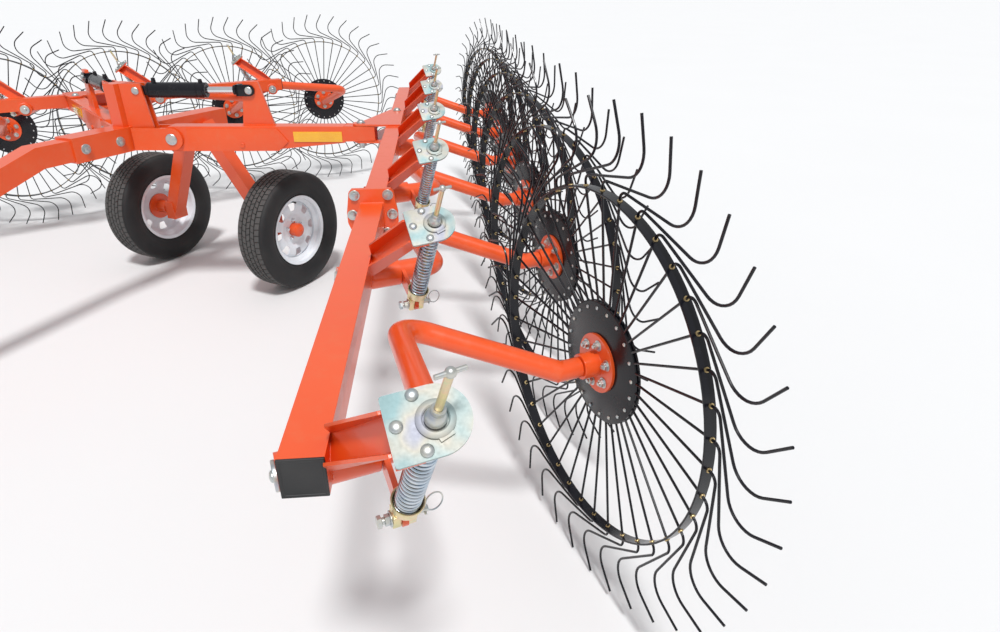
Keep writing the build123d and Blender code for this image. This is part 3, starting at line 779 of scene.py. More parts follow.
hinge_arc = arc_of(arm_root, arm_root, 270, 90, 20)[1:-1]
arm_outline = [
    (0, arm_root), (tip_start, arm_root), (tip_start, tip_top), (tip_end, tip_top), (tip_end, tip_foot),
    (tip_start, tip_foot), (tip_start, belly_end), (low_corner, -arm_root), (0, -arm_root)] + hinge_arc
arrow_outline = [(0.080, 0.055), (0.548, 0.055), (0.601, -0.014), (0.545, -0.061), (0.080, -0.061)]
arrow_weld = [(0.080, -0.062), (0.080, 0.055), (0.548, 0.055), (0.601, -0.014), (0.557, -0.053)]
bracket_corners = [(bracket_end, 0.060), (0.472, 0.279), (0.399, 0.279), (bracket_start, 0.060)]
bracket_outline = round_corners(bracket_corners, 0.006, 2)
arrow_plate = plate_of(arrow_outline, side_plate, 0.0015)
arm_box = gathered(
    (plate_of(arm_outline, 2 * arm_half, edge_round), at(0, 0, -arm_half)),
    (arrow_plate, at(0, 0, arm_half - plate_sink)),
    (arrow_plate, at(0, 0, plate_sink - arm_half - side_plate)),
    (plate_of(bracket_outline, 2 * bracket_half, 0.0020), at(0, 0, -bracket_half)))
on_sides("cross_arm_box", arm_box, left_arm, orange_paint, "frame_paint", "arm", "cross_arm")
reflector = rounded_block((reflector_start, reflector_foot, arm_half - reflector_sink),
                          (reflector_end, reflector_top, arm_half + reflector_out), reflector_round)
on_sides("arm_reflector", reflector, left_arm, amber, "cap_plastic", "arm")
boss = turned([(0, 0), (0.0125, 0), (0.0125, 0.0045), (0.0110, 0.0060), (0.0065, 0.0060), (0.0058, 0.0040),
               (0, 0.0040)], 28)
bosses = gathered((boss, at(*plate_boss, arm_half + side_plate)),
                  (boss, at(*plate_boss, -arm_half - side_plate) @ upside_down))
on_sides("arm_plate_bosses", bosses, left_arm, orange_paint, "frame_paint", "arm")

arm_beads = [weld_bead([Vector((x, y, z)) for x, y in arrow_weld]) for z in (arm_half, -arm_half)]
bracket_side = bracket_half + 0.0005
foot = [Vector((x, arm_root, z)) for x, z in (
    (bracket_start, bracket_side), (bracket_end, bracket_side), (bracket_end, -bracket_side),
    (bracket_start, -bracket_side))]
arm_beads.append(weld_bead(foot, True, 0.0042))
on_sides("arm_weld_beads", gathered(*arm_beads), left_arm, orange_paint, "frame_paint", "arm")

# Columns: how far the barrel's outline stands in from its radius, and the place along it
BARREL_EDGE = [
    (0.0050, 0), (0.0010, 0.004), (0.0010, 0.010), (0.0035, 0.013), (0, 0.016), (0, 0.252), (0.0020, 0.254),
    (0.0020, 0.258), (0, 0.260), (0, 0.284), (0.0030, 0.287), (0.0030, 0.291), (0.0010, 0.293),
    (0.0010, barrel_length - 0.002), (0.0030, barrel_length)]
# Columns: place along the barrel, top and radius of a port, and its plug's width across flats and height
PORTS = [
    (0.036, 0.047, 0.0115, 0.019, 0.012),
    (0.272, 0.045, 0.0105, 0.017, 0.008),
]
barrel_outline = [(0, 0)] + [(barrel_radius - inset, x) for inset, x in BARREL_EDGE] + [
    (0.022, barrel_length), (0.020, barrel_length - 0.003), (gland_bore, barrel_length - 0.003),
    (gland_bore, barrel_length - 0.030), (0, barrel_length - 0.030)]
eye_bore = ram_pin + 0.0003
eye_ring = [(eye_bore, -0.017), (eye_radius - 0.002, -0.017), (eye_radius, -0.015), (eye_radius, 0.015),
            (eye_radius - 0.002, 0.017), (eye_bore, 0.017)]
at_base = at(ram_base, ram_level, 0)
at_start = at(barrel_start, ram_level, 0)
barrel_lug = rounded_block((ram_pin + 0.006, -0.022, -0.0155), (0.0535, 0.022, 0.0155), 0.003)
barrel_parts = [
    (turned(barrel_outline, 56), at_start @ lying), (turned(eye_ring, 40), at_base), (barrel_lug, at_base)]
for x, top, radius, across_flats, height in PORTS:
    barrel_parts.append((bar((x, port_foot, 0), (x, top, 0), radius), at_start))
    barrel_parts.append((hexagon(across_flats, height, False), at_start @ at(x, top, 0) @ on_top))
barrel = gathered(*barrel_parts)
on_sides("ram_cylinder", barrel, left_arm, black_gloss, "black_paint", "barrel", "ram_barrel")

chrome_length = ram_eye - fork_depth - chrome_start
chrome_rod = turned([(0, 0), (chrome_radius, 0), (chrome_radius, chrome_length), (0, chrome_length)], 40)
at_chrome = left_arm @ at(chrome_start, ram_level, 0) @ lying
on_sides("ram_chrome_rod", chrome_rod, at_chrome, chrome, "ram_chrome", "rod", "ram_rod")
fork_end = -fork_depth - fork_back
fork_side = fork_gap + fork_cheek
eye_arc = arc_of(eye_radius, eye_radius, -90, 90, 14)
cheek = plate_of(eye_arc + [(fork_end, eye_radius), (fork_end, -eye_radius)], fork_cheek, 0.002)
neck = turned([(chrome_radius, 0), (0.024, 0), (0.024, 0.012), (0.021, fork_collar),
               (chrome_radius, fork_collar)], 32)
fork = gathered(
    (cheek, at(0, 0, fork_gap)), (cheek, at(0, 0, -fork_gap) @ upside_down),
    rounded_block((fork_end, -eye_radius, -fork_side), (-fork_depth, eye_radius, fork_side), 0.002),
    (neck, at(fork_end - fork_collar, 0, 0) @ lying))
at_eye = left_arm @ at(ram_eye, ram_level, 0)
on_sides("ram_rod_fork", fork, at_eye, black_gloss, "black_paint", "rod")


def pin_with_heads(half, radius, head):
    """A headed pin along z, with a washer and a split pin at its other end."""
    split_pin = 0.0022
    split_level = -half - 0.0075
    cap = turned([(0, 0), (head, 0), (head, 0.005), (head - 0.003, 0.0075), (0, 0.0085)], 32)
    washer = turned([(0, 0), (head, 0), (head, 0.003), (0, 0.003)], 32)
    return gathered(
        bar((0, 0, -half - 0.012), (0, 0, half), radius),
        (cap, at(0, 0, half)), (washer, at(0, 0, -half) @ upside_down),
        bar((0, -head * 0.95, split_level), (0, head * 0.95, split_level), split_pin),
        bar((0.0035, -head * 0.80, split_level), (0.0035, head * 0.95, split_level), split_pin))


rod_pin = pin_with_heads(fork_side, ram_pin, pin_head_radius)
on_sides("ram_rod_pin", rod_pin, at_eye, zinc_plate, "bright_zinc", "rod")
frame_pins = [(pin_with_heads(ram_lug_half, ram_pin, pin_head_radius), left_arm @ at_base),
              (pin_with_heads(lift_lug_half, lift_pin, lift_pin_head), left_arm)]
frame_pins += [(pin, mirrored @ place) for pin, place in frame_pins]
add_piece("frame_pins", gathered(*frame_pins), zinc_plate, "machine", "bright_zinc")

# The beam ends and pivot discs
# Black moulded plugs close the ends of each wing beam, with a rounded rim and a shallow dished face.
# A zinc disc and bolt hold each crank's pivot leg in its housing, on the beam's inner side.
cap_thickness = 0.005
cap_border = 0.006
cap_rim = 0.003
cap_dish = 0.0018
cap_round = 0.002
past_last_pivot = 0.064
beam_length = first_station + station_pitch * STATIONS[-1] + past_last_pivot
housing_in = 0.056
retainer_radius = 0.027
retainer_thickness = 0.007

black_plastic, tree = empty_material("black_moulded_plastic")
scuff = object_noise(tree, 9.0, 6.0, 0.6)
plastic_colour = mix_colours(tree, ramp_of(tree, scuff, [(0.45, 0.0), (0.8, 0.5)]),
                             (0.012, 0.012, 0.013, 1), (0.040, 0.039, 0.038, 1))
end_material(tree, {"Base Color": plastic_colour, "Roughness": 0.36 + scuff * 0.2,
                    "Normal": bump_of(tree, object_noise(tree, 900.0, 3.0), 0.0003, 0.3)})


def beam_plug():
    """A square plug: a plate with a raised, rounded rim, facing z."""
    work = cube_between((-beam_half, -beam_half, 0), (beam_half, beam_half, cap_thickness))
    face = max(work.faces, key=lambda f: f.calc_center_median().z)
    bmesh.ops.inset_region(work, faces=[face], thickness=cap_border, depth=0.0)
    bmesh.ops.inset_region(work, faces=[face], thickness=cap_rim, depth=-cap_dish)
    mesh = bpy.data.meshes.new("plug")
    work.to_mesh(mesh)
    work.free()
    return bevelled(mesh, cap_round, 3, 20)


plug_places = [on_left_wing(0, 0, beam_height, (0, -1, 0), (1, 0, 0)),
               on_left_wing(0, beam_length, beam_height, (0, 1, 0), (1, 0, 0))]
on_wings("beam_plugs", beam_plug(), plug_places, black_plastic, "cap_plastic", "beam_caps")

spine_plug = rounded_block((-spine_half, 0, -spine_half), (spine_half, cap_thickness, spine_half), cap_round)
spine_plug.transform(at(0, max(spine_ends), spine_level))
add_piece("spine_plug", spine_plug, black_plastic, "machine", "cap_plastic")

retainer_outline = [
    (0, 0), (retainer_radius - 0.001, 0), (retainer_radius, 0.001),
    (retainer_radius, retainer_thickness - 0.0015), (retainer_radius - 0.0015, retainer_thickness),
    (0, retainer_thickness)]
retainer_bolt = domed_head(0.0105, 0.006)
disc_and_bolt = gathered(turned(retainer_outline, 40), (retainer_bolt, at(0, 0, retainer_thickness)))
on_wings("pivot_discs", disc_and_bolt, at_stations(-pivot_axis * housing_in, -pivot_axis), zinc_plate,
         "bright_zinc", "pivot_retainers")

# The spring units
# At each station a coil spring hangs from a zinc D-plate on an open channel and pulls on the crank's lever.
# A screwed rod runs down through it, from a cross handle and a ball nut to a flared cup, a clevis and a pin.
spring_pin = Vector((0.152, -0.079, -0.046))
spring_top = Vector((0.216, -0.186, 0.218))
spring_line = (spring_top - spring_pin).normalized()
pin_to_ball = (spring_top - spring_pin).length
ball_radius = 0.016
ball_hole = 0.013
plate_lean = math.radians(38.0)
plate_turn = math.radians(4.0)
plate_reach = 0.066
plate_round = 0.050
plate_thickness = 0.006
plate_spin = math.radians(10.5)
rod_radius = 0.006
rod_end = pin_to_ball + 0.098
spring_radius = 0.022
spring_wire = 0.003
spring_turns = 23.0
under_ball = 0.008
cup_rise = 0.026
cup_height = 0.030
cup_radius = 0.028
cup_wall = 0.003

yellow_zinc = plated_steel("yellow_zinc_plate", (34.0, 3.0, 0.55), (210.0, 4.0, 0.6), [
    (0.33, (0.62, 0.58, 0.30, 1)), (0.46, (0.78, 0.66, 0.36, 1)), (0.58, (0.80, 0.60, 0.40, 1)),
    (0.70, (0.66, 0.66, 0.42, 1))], 0.24, 0.2)
sheet_zinc = plated_steel("satin_zinc_sheet", (17.0, 1.5, 0.45), (190.0, 5.0, 0.6), [
    (0.34, (0.33, 0.46, 0.47, 1)), (0.46, (0.46, 0.51, 0.49, 1)), (0.56, (0.54, 0.52, 0.46, 1)),
    (0.68, (0.45, 0.46, 0.52, 1))], 0.58, 0.2)

spring_zinc, tree = empty_material("blue_zinc_spring")
wire_cloud = object_noise(tree, 40.0, 3.0)
wire_colour = ramp_of(tree, wire_cloud, [(0.35, (0.42, 0.52, 0.62, 1)), (0.6, (0.64, 0.69, 0.74, 1))])
end_material(tree, {"Base Color": wire_colour, "Metallic": 1.0, "Roughness": 0.22 + wire_cloud * 0.14})

outward = Vector((math.cos(plate_turn), math.sin(plate_turn), 0))
plate_normal = Vector((0, -math.sin(plate_lean), math.cos(plate_lean)))
plate_normal = (plate_normal - outward * plate_normal.dot(outward)).normalized()
ball_seat = math.sqrt(ball_radius ** 2 - ball_hole ** 2) + 0.0003
plate_centre = spring_top - plate_normal * ball_seat
plate_places = at_stations(plate_centre, plate_normal, outward)
plate_turned = Matrix.Rotation(plate_spin, 4, "Z")

square_corners = [
    (0, plate_round), (-plate_reach, plate_round), (-plate_reach, -plate_round), (0, -plate_round)]
# Five points to a corner: the two at the plate's straight end are kept
two_corners = round_corners(square_corners, 0.005)[5:15]
spring_plate = plate_of(two_corners + arc_of(plate_round, plate_round, -90, 90, 32), plate_thickness, 0.0010)
spring_plate.transform(plate_turned @ at(0, 0, -plate_thickness))
on_wings("spring_plates_zinc", spring_plate, plate_places, sheet_zinc, "bright_zinc", "spring_plates")

# The beam: its pads turn with the plates, and its own flanges and pin head are drawn in for those made above
cad_joint = 1.552
cad_joint_half = 0.011
knuckle_head_radius = 0.040
pad_reach = 0.075
pad_half = 0.055
pad_top = -0.0050
pad_foot = -0.0130


def as_photographed(side):
    """Gives the change that fits a beam's points to the pieces that stand on it."""
    wing = left_wing if side == "left" else mirrored @ left_wing
    plates = plate_places if side == "left" else [mirrored @ plate for plate in plate_places]

    def reshape(work):
        for corner in work.verts:
            x, y, z = wing.inverted() @ corner.co
            if abs(y - cad_joint) < cad_joint_half:
                x = max(-beam_half, min(beam_half, x))
                z = beam_height + max(-beam_half, min(beam_half, z - beam_height))
            elif math.hypot(x - knuckle_pin[0], y - knuckle_pin[1]) < knuckle_head_radius:
                z = min(z, knuckle_top)
            corner.co = wing @ Vector((x, y, z))
            for plate in plates:
                near = plate.inverted() @ corner.co
                if abs(near.x) < pad_reach and abs(near.y) < pad_half and pad_foot < near.z < pad_top:
                    corner.co = plate @ (plate_turned @ near)
                    break
    return reshape


for side in SIDES:
    dress(f"wing_beam_{side}", f"wing_beam_tube_{side}", orange_paint, "frame_paint", edge_round,
          as_photographed(side))

# Places on a plate from its ball: outboard, and towards its rear edge
PLATE_BOLTS = [(-0.029, 0.036), (-0.052, -0.006), (-0.014, -0.041)]
plate_bolt = domed_head(0.0095, 0.0065)
for number, (x, y) in enumerate(PLATE_BOLTS, 1):
    bolt_place = plate_centre + outward * x + plate_normal.cross(outward) * y
    bolt_places = at_stations(bolt_place, plate_normal)
    on_wings(f"plate_bolts_{number}", plate_bolt, bolt_places, zinc_plate, "bright_zinc")

# The coil, its end turns closed
coil_tree, sockets = node_tree("coil", Start="Geometry", Turns="Float", Radius="Float", Wire="Float",
                               Height="Float", Finish="Material")
line = add_node(coil_tree, "GeometryNodeCurveSpiral", None, {
    "Resolution": 26, "Rotations": sockets["Turns"], "Start Radius": sockets["Radius"],
    "End Radius": sockets["Radius"], "Height": sockets["Height"]})
turns_up = add_node(coil_tree, "GeometryNodeSplineParameter") * sockets["Turns"]
wire_width = sockets["Wire"] * 2.0
free_turns = sockets["Turns"] - 2.0
free_pitch = (sockets["Height"] - wire_width * 2.0) / free_turns
first_turn = turns_up.math("MINIMUM", turns_up, 1.0)
middle_turns = turns_up.math("MAXIMUM", turns_up.math("MINIMUM", turns_up - 1.0, free_turns), 0.0)
last_turn = turns_up.math("MAXIMUM", turns_up - free_turns - 1.0, 0.0)
rise = first_turn * wire_width + middle_turns * free_pitch + last_turn * wire_width
flat = add_node(coil_tree, "ShaderNodeVectorMath", {"operation": "MULTIPLY"},
                {0: add_node(coil_tree, "GeometryNodeInputPosition"), 1: (1, 1, 0)})
lift = add_node(coil_tree, "ShaderNodeCombineXYZ", None, {"Z": rise})
level = add_node(coil_tree, "ShaderNodeVectorMath", {"operation": "ADD"}, {0: flat, 1: lift})
line = add_node(coil_tree, "GeometryNodeSetPosition", None, {"Geometry": line, "Position": level})
end_tree(coil_tree, wire_along(coil_tree, line, sockets["Wire"], 9), sockets["Finish"])

spring_start = spring_pin + spring_line * (cup_rise + cup_wall + spring_wire)
spring_length = (spring_top - spring_line * (ball_radius + under_ball) - spring_start).length
coil = run_tree(coil_tree, bpy.data.meshes.new("start"), Turns=spring_turns,
                Radius=spring_radius - spring_wire, Wire=spring_wire, Height=spring_length, Finish=spring_zinc)
coil_places = at_stations(spring_start, spring_line)
on_wings("coil_springs", coil, coil_places, spring_zinc, "bright_zinc", "lift_springs")

# Rod, flared cup and clevis, all in yellow zinc
# Columns: radius, and height above the cup's foot
CUP_OUTLINE = [
    (rod_radius, 0), (0.019, 0), (0.0235, 0.004), (cup_radius - 0.002, 0.016),
    (cup_radius, cup_height - 0.001), (cup_radius - 0.001, cup_height),
    (cup_radius - 0.003, cup_height - 0.001), (cup_radius - 0.005, 0.016),
    (0.0215, 0.007), (0.018, cup_wall), (rod_radius, cup_wall)]
rod_outline = [(0, cup_rise + 0.001), (rod_radius, cup_rise + 0.001), (rod_radius, rod_end - 0.001),
               (rod_radius - 0.001, rod_end), (0, rod_end)]
rod_and_cup = gathered(turned(rod_outline, 20), (turned(CUP_OUTLINE, 48), at(0, 0, cup_rise)))
rod_places = at_stations(spring_pin, spring_line, pivot_axis)
on_wings("screwed_rods", rod_and_cup, rod_places, yellow_zinc, "yellow_zinc", "spring_rods")

clevis_half = 0.020
clevis_deep = 0.013
clevis_low = -0.014
clevis_gap = 0.0055
clevis_bridge = 0.005
upright = (spring_line - pivot_axis * spring_line.dot(pivot_axis)).normalized()
clevis = gathered(
    rounded_block((clevis_gap, -clevis_deep, clevis_low), (clevis_half, clevis_deep, cup_rise), 0.003),
    rounded_block((-clevis_half, -clevis_deep, clevis_low), (-clevis_gap, clevis_deep, cup_rise), 0.003),
    rounded_block((-clevis_half, -clevis_deep, cup_rise - clevis_bridge),
                  (clevis_half, clevis_deep, cup_rise + 0.0005), 0.001))
on_wings("rod_clevises", clevis, at_stations(spring_pin, upright, pivot_axis), yellow_zinc, "yellow_zinc")

# Ball nut and cross handle in bright zinc, and the satin washer under the ball
handle_half = 0.0225
handle_radius = 0.0036
handle_line = (0.9, 0.45, 0)
nut_foot = pin_to_ball + ball_radius - 0.006
ball_outline = arc_of(ball_radius, ball_radius, -90, 90, 10)
nut_bore = rod_radius + 0.0002
nut_outline = [(nut_bore, 0), (0.0105, 0), (0.0105, 0.010), (0.0095, 0.011), (nut_bore, 0.011)]
knob_outline = [(r / 2, z / 2) for r, z in ball_outline]
handle = gathered(
    (turned(ball_outline, 28), at(0, 0, pin_to_ball)), (turned(nut_outline, 28), at(0, 0, nut_foot)),
    (turned(knob_outline, 20), at(0, 0, rod_end)),
    bar((-handle_half, 0, rod_end - 0.001), (handle_half, 0, rod_end + 0.002), handle_radius))
on_wings("rod_handles", handle, at_stations(spring_pin, spring_line, handle_line), zinc_plate, "bright_zinc")

washer_in = 0.0175
washer_out = 0.0275
washer_foot = 0.0005
tab_turn = math.radians(-62)
washer_outline = [(washer_in, washer_foot), (washer_out - 0.001, washer_foot), (washer_out, 0.0015),
                  (washer_out, 0.0045), (washer_out - 0.0012, 0.0055), (washer_in + 0.002, 0.0065),
                  (washer_in, 0.0055)]
tab = rounded_block((washer_out - 0.004, -0.011, washer_foot), (washer_out + 0.0035, 0.011, 0.0045), 0.001)
washer = gathered(turned(washer_outline, 48), (tab, Matrix.Rotation(tab_turn, 4, "Z")))
on_wings("plate_washers", washer, plate_places, sheet_zinc, "bright_zinc")

# Cross pin with its head towards the beam, and the linch ring at its outer end
pin_inner = 0.036
pin_outer = 0.042
pin_radius = 0.006
peg_level = pin_outer - 0.006
ring_radius = 0.0165
ring_wire = 0.0014
ring_outline = [(ring_radius + r, z) for r, z in arc_of(ring_wire, ring_wire, 0, 360, 8)[:-1]]
ring_facing = turned_to((0.006, 0.0, pin_outer - 0.004), (0.45, 0.85, 0.20), (0.25, 0, 1))
clevis_pin = gathered(
    bar((0, 0, -pin_inner), (0, 0, pin_outer), pin_radius),
    (hexagon(0.019, 0.008, False), at(0, 0, -pin_inner) @ upside_down),
    (nut_on_bolt(0.017, 0.009), at(0, 0, -clevis_half) @ upside_down),
    bar((0, -0.013, peg_level), (0, 0.011, peg_level), 0.0022),
    (turned(ring_outline, 36), ring_facing @ at(ring_radius, 0, 0)))
on_wings("clevis_pins", clevis_pin, at_stations(spring_pin, pivot_axis, upright), zinc_plate, "bright_zinc")

# The rake wheels
# Forty bent spring-steel tines run from between two riveted plates through a rolled steel band and hook back.
# Tines, band and plates are gloss black, and the flange that carries them is orange with zinc nuts.
tine_count = 40
tine_wire = 0.0035
tine_foot = 0.118
tine_bend = 0.518
band_radius = 0.488
band_half = 0.015
band_wall = 0.0025
band_crown = 0.0008
plate_radius = 0.176
plate_level = 0.038
plate_half = 0.0095
plate_bore = 0.037
pressed_depth = 0.002
rivet_radius = 0.0055
rivet_height = 0.0038
rivets_round = 20
rivet_circle = 0.158
flange_face = 0.018
flange_bolt = 0.019
flange_bolts = 6
flange_bolt_circle = 0.060
flange_round = 0.0015
# Columns: radius, turn from the spoke in degrees, height above the band's plane, bend radius
TINE_LINE = [
    (tine_foot, 0.0, plate_level, 0.0),
    (tine_bend, 0.0, 0.0, 0.022),
    (0.586, 26.1, 0.0, 0.062),
    (0.7065, 20.0, 0.0, 0.0),
]

brass_grommet, tree = empty_material("gold_grommet")
brass_cloud = object_noise(tree, 60.0, 3.0)
brass_colour = ramp_of(tree, brass_cloud, [(0.3, (0.50, 0.36, 0.16, 1)), (0.7, (0.78, 0.60, 0.32, 1))])
end_material(tree, {"Base Color": brass_colour, "Metallic": 1.0, "Roughness": 0.3 + brass_cloud * 0.2})


def set_round(tree, points, shape, count):
    """Copies of a shape on a tree's points, each turned by its share of a full turn about z."""
    share = add_node(tree, "GeometryNodeInputIndex") / count * (2 * math.pi)
    turn = add_node(tree, "ShaderNodeCombineXYZ", None, {"Z": share})
    turn = add_node(tree, "FunctionNodeEulerToRotation", None, {"Euler": turn})
    return add_node(tree, "GeometryNodeInstanceOnPoints", None,
                    {"Points": points, "Instance": shape, "Rotation": turn})


ring_tree, sockets = node_tree("ring", Shape="Geometry", Count="Int", Radius="Float", Finish="Material")
spots = add_node(ring_tree, "GeometryNodeMeshCircle", None,
                 {"Vertices": sockets["Count"], "Radius": sockets["Radius"]})
end_tree(ring_tree, set_round(ring_tree, spots, sockets["Shape"], sockets["Count"]), sockets["Finish"])


def ring_of(mesh, count, radius, finish):
    """A template set out round a circle, each copy turned with it."""
    return run_tree(ring_tree, mesh, Count=count, Radius=radius, Finish=finish)


tine_tree, sockets = node_tree("tines", Line="Geometry", Count="Int", Wire="Float", Finish="Material")
line = add_node(tine_tree, "GeometryNodeMeshToCurve", None, {"Mesh": sockets["Line"]})
bend = add_node(tine_tree, "GeometryNodeInputNamedAttribute", {"data_type": "FLOAT"}, {"Name": "bend"})
line = add_node(tine_tree, "GeometryNodeFilletCurve", {"mode": "POLY"},
                {"Curve": line, "Count": 9, "Radius": bend})
tine = wire_along(tine_tree, line, sockets["Wire"], 8)
spots = add_node(tine_tree, "GeometryNodeMeshLine", None, {"Count": sockets["Count"], "Offset": (0, 0, 0)})
end_tree(tine_tree, set_round(tine_tree, spots, tine, sockets["Count"]), sockets["Finish"])

tine_line = bpy.data.meshes.new("tine_line")
corners = [(r * math.cos(math.radians(a)), r * math.sin(math.radians(a)), z) for r, a, z, bend in TINE_LINE]
tine_line.from_pydata(corners, [(i, i + 1) for i in range(len(corners) - 1)], [])
bends = tine_line.attributes.new("bend", "FLOAT", "POINT")
for item, row in zip(bends.data, TINE_LINE):
    item.value = row[-1]
tines = run_tree(tine_tree, tine_line, Count=tine_count, Wire=tine_wire, Finish=black_gloss)

band_in = band_radius - band_wall
band_out = band_radius + band_wall
band_outline = [(band_in, -band_half), (band_radius, -band_half - band_crown), (band_out, -band_half),
                (band_out, band_half), (band_radius, band_half + band_crown), (band_in, band_half)]
plate_out = plate_level + plate_half
plate_in = plate_level - plate_half
plate_edge = plate_radius - 0.004
hub_plate_outline = [
    (plate_bore, plate_in), (plate_edge, plate_in), (plate_radius, plate_in + 0.002),
    (plate_radius, plate_in + 0.005), (plate_radius - 0.006, plate_level), (plate_radius, plate_out - 0.005),
    (plate_radius, plate_out - 0.002), (plate_edge, plate_out), (0.138, plate_out),
    (0.134, plate_out - pressed_depth), (0.106, plate_out - pressed_depth), (0.102, plate_out),
    (plate_bore, plate_out)]
black_parts = gathered(tines, turned(band_outline, 120), turned(hub_plate_outline, 72))

rivet_ring = ring_of(domed_head(rivet_radius, rivet_height, 12), rivets_round, rivet_circle, zinc_plate)
nut_ring = ring_of(nut_on_bolt(flange_bolt, 0.010), flange_bolts, flange_bolt_circle, zinc_plate)
head_ring = ring_of(hexagon(flange_bolt, 0.008), flange_bolts, flange_bolt_circle, zinc_plate)
rivets = gathered(
    (rivet_ring, at(0, 0, plate_out)), (rivet_ring, at(0, 0, plate_in) @ upside_down),
    (nut_ring, at(0, 0, flange_face) @ upside_down), (head_ring, at(0, 0, plate_out)))

grommet = turned([(tine_wire, -0.005), (0.0062, -0.005), (0.0068, -0.0035), (0.0068, 0.0035), (0.0062, 0.005),
                  (tine_wire, 0.005)], 12)
grommet.transform(lying)
grommet_level = plate_level * (tine_bend - band_radius) / (tine_bend - tine_foot)
grommets = ring_of(grommet, tine_count, band_radius, brass_grommet)
grommets.transform(at(0, 0, grommet_level))

# How far each wheel of a wing has turned, in degrees. The right wing's have turned twice as far.
PHASES = (8.8, 47, 23, 71, 5, 60)
for side in SIDES:
    for i in STATIONS:
        joint = joints[f"rake_spin_{side}_{i + 1}"]
        place = turned_to(Vector(joint["pos_m"]), joint["axis"], up)
        if side == "right":
            place = place @ Matrix.Scale(-1, 4, (0, 1, 0))
        phase = math.radians(PHASES[i] * (1 if side == "left" else 2))
        place = place @ Matrix.Rotation(phase, 4, "Z")
        which = f"{side}_{i + 1}"
        body = "rake_wheel_" + which
        wheel = gathered((black_parts, place))
        add_piece("tined_wheel_" + which, wheel, black_gloss, body, "black_paint", body)
        add_piece("wheel_rivets_" + which, gathered((rivets, place)), zinc_plate, body, "bright_zinc")
        add_piece("tine_grommets_" + which, gathered((grommets, place)), brass_grommet, body, "yellow_zinc")
        dress("wheel_hub_" + which, "wheel_flange_" + which, orange_paint, "frame_paint", flange_round)

# The road wheels
# Each is a pressed steel rim in gloss white with eight windows and five nuts, on an orange greased hub.
# The tyre has five rows of tread blocks parted by grooves and sipes, and rings moulded in its side walls.
rim_face = 0.024
nut_circle = 0.057
wheel_nuts = 5
hub_end = 0.066
hub_round = 0.003
bead_radius = 0.1908
bead_half = 0.0697
wall_start = 0.2070
wall_end = 0.3300
wall_steps = 25
wall_inset = 0.0016
wall_swell = 0.1074
wall_return = 0.0891
tread_radius = 0.3436
tread_depth = 0.0070
tread_rows = 62
block_gap = 0.0046
block_root = 0.001
shoulder = 0.0700
shoulder_drop = 0.0028
# Columns: where a row of blocks starts and ends across the tread, and its slant in metres
BLOCK_ROWS = [
    (-0.0735, -0.0465, 0.004),
    (-0.0385, -0.0180, 0.007),
    (-0.0105, 0.0105, -0.007),
    (0.0180, 0.0385, 0.007),
    (0.0465, 0.0735, -0.004),
]
# How far the side wall's moulded rings stand out, by their step up the wall
WALL_RINGS = {3: 0.0016, 4: 0.0016, 9: 0.0009, 20: 0.0009, 22: 0.0009}

# The side walls' rubber is darker than real rubber: painted shade. The road dust lightens it in patches.
rubber, tree = empty_material("tyre_rubber")
road_dust = object_noise(tree, 7.0, 7.0, 0.62)
rubber_colour = mix_colours(tree, ramp_of(tree, road_dust, [(0.42, 0.0), (0.78, 0.8)]),
                            (0.007, 0.007, 0.008, 1), (0.026, 0.025, 0.024, 1))
end_material(tree, {"Base Color": rubber_colour, "Roughness": 0.50 + road_dust * 0.3,
                    "Normal": bump_of(tree, object_noise(tree, 600.0, 3.0), 0.0004, 0.4)})

# The tread's lighter grey is partly dust and partly painted sunlight on the tread face.
tread_rubber_dusty_and_lit, tree = empty_material("worn_tread_rubber")
tread_dust = object_noise(tree, 30.0, 6.0, 0.6)
tread_colour = mix_colours(tree, tread_dust, (0.045, 0.044, 0.044, 1), (0.100, 0.096, 0.092, 1))
end_material(tree, {"Base Color": tread_colour, "Roughness": 0.68 + tread_dust * 0.2,
                    "Normal": bump_of(tree, object_noise(tree, 800.0, 3.0), 0.0004, 0.4)})

# The rim's white is tinted blue as painted shade. The cloud mixes grey patches into it.
white_paint, tree = empty_material("gloss_white_rim")
rim_cloud = object_noise(tree, 9.0, 5.0, 0.6)
rim_colour = mix_colours(tree, ramp_of(tree, rim_cloud, [(0.45, 0.0), (0.85, 0.6)]),
                         (0.78, 0.83, 0.88, 1), (0.62, 0.63, 0.62, 1))
end_material(tree, {"Base Color": rim_colour, "Roughness": 0.22 + rim_cloud * 0.2, "Coat Weight": 0.5,
                    "Coat Roughness": 0.08})

at_wheel = turned_to(Vector(joints["road_wheel_spin_left"]["pos_m"]), (1, 0, 0), up)


def wall_width(share):
    """Half the tyre's width at a share of the way up its side wall."""
    return bead_half + wall_swell * share - wall_return * share ** 2


half_outline = [(bead_radius, bead_half), (wall_start, bead_half)]
for i in range(1, wall_steps):
    share = i / wall_steps
    width = wall_width(share) + WALL_RINGS.get(i, 0.0) - wall_inset
    half_outline.append((wall_start + (wall_end - wall_start) * share, width))
half_outline += [(0.3345, 0.0800), (tread_radius - tread_depth, 0.0735)]
tyre_outline = half_outline + [(r, -w) for r, w in reversed(half_outline)]


def tread_block(start, end, slant, length):
    """One tread block: x outwards, y round the tyre, z across it."""
    work = cube_between((-tread_depth - block_root, -length / 2, start), (0, length / 2, end))
    middle = (start + end) / 2
    for corner in work.verts:
        corner.co.y += slant * (corner.co.z - middle) / (end - start)
        if abs(corner.co.z) > shoulder and corner.co.x > -block_root:
            corner.co.x -= shoulder_drop
    bmesh.ops.bevel(work, geom=list(work.edges), offset=0.0007, segments=1, profile=0.5, affect="EDGES")
    return cleaned(work)


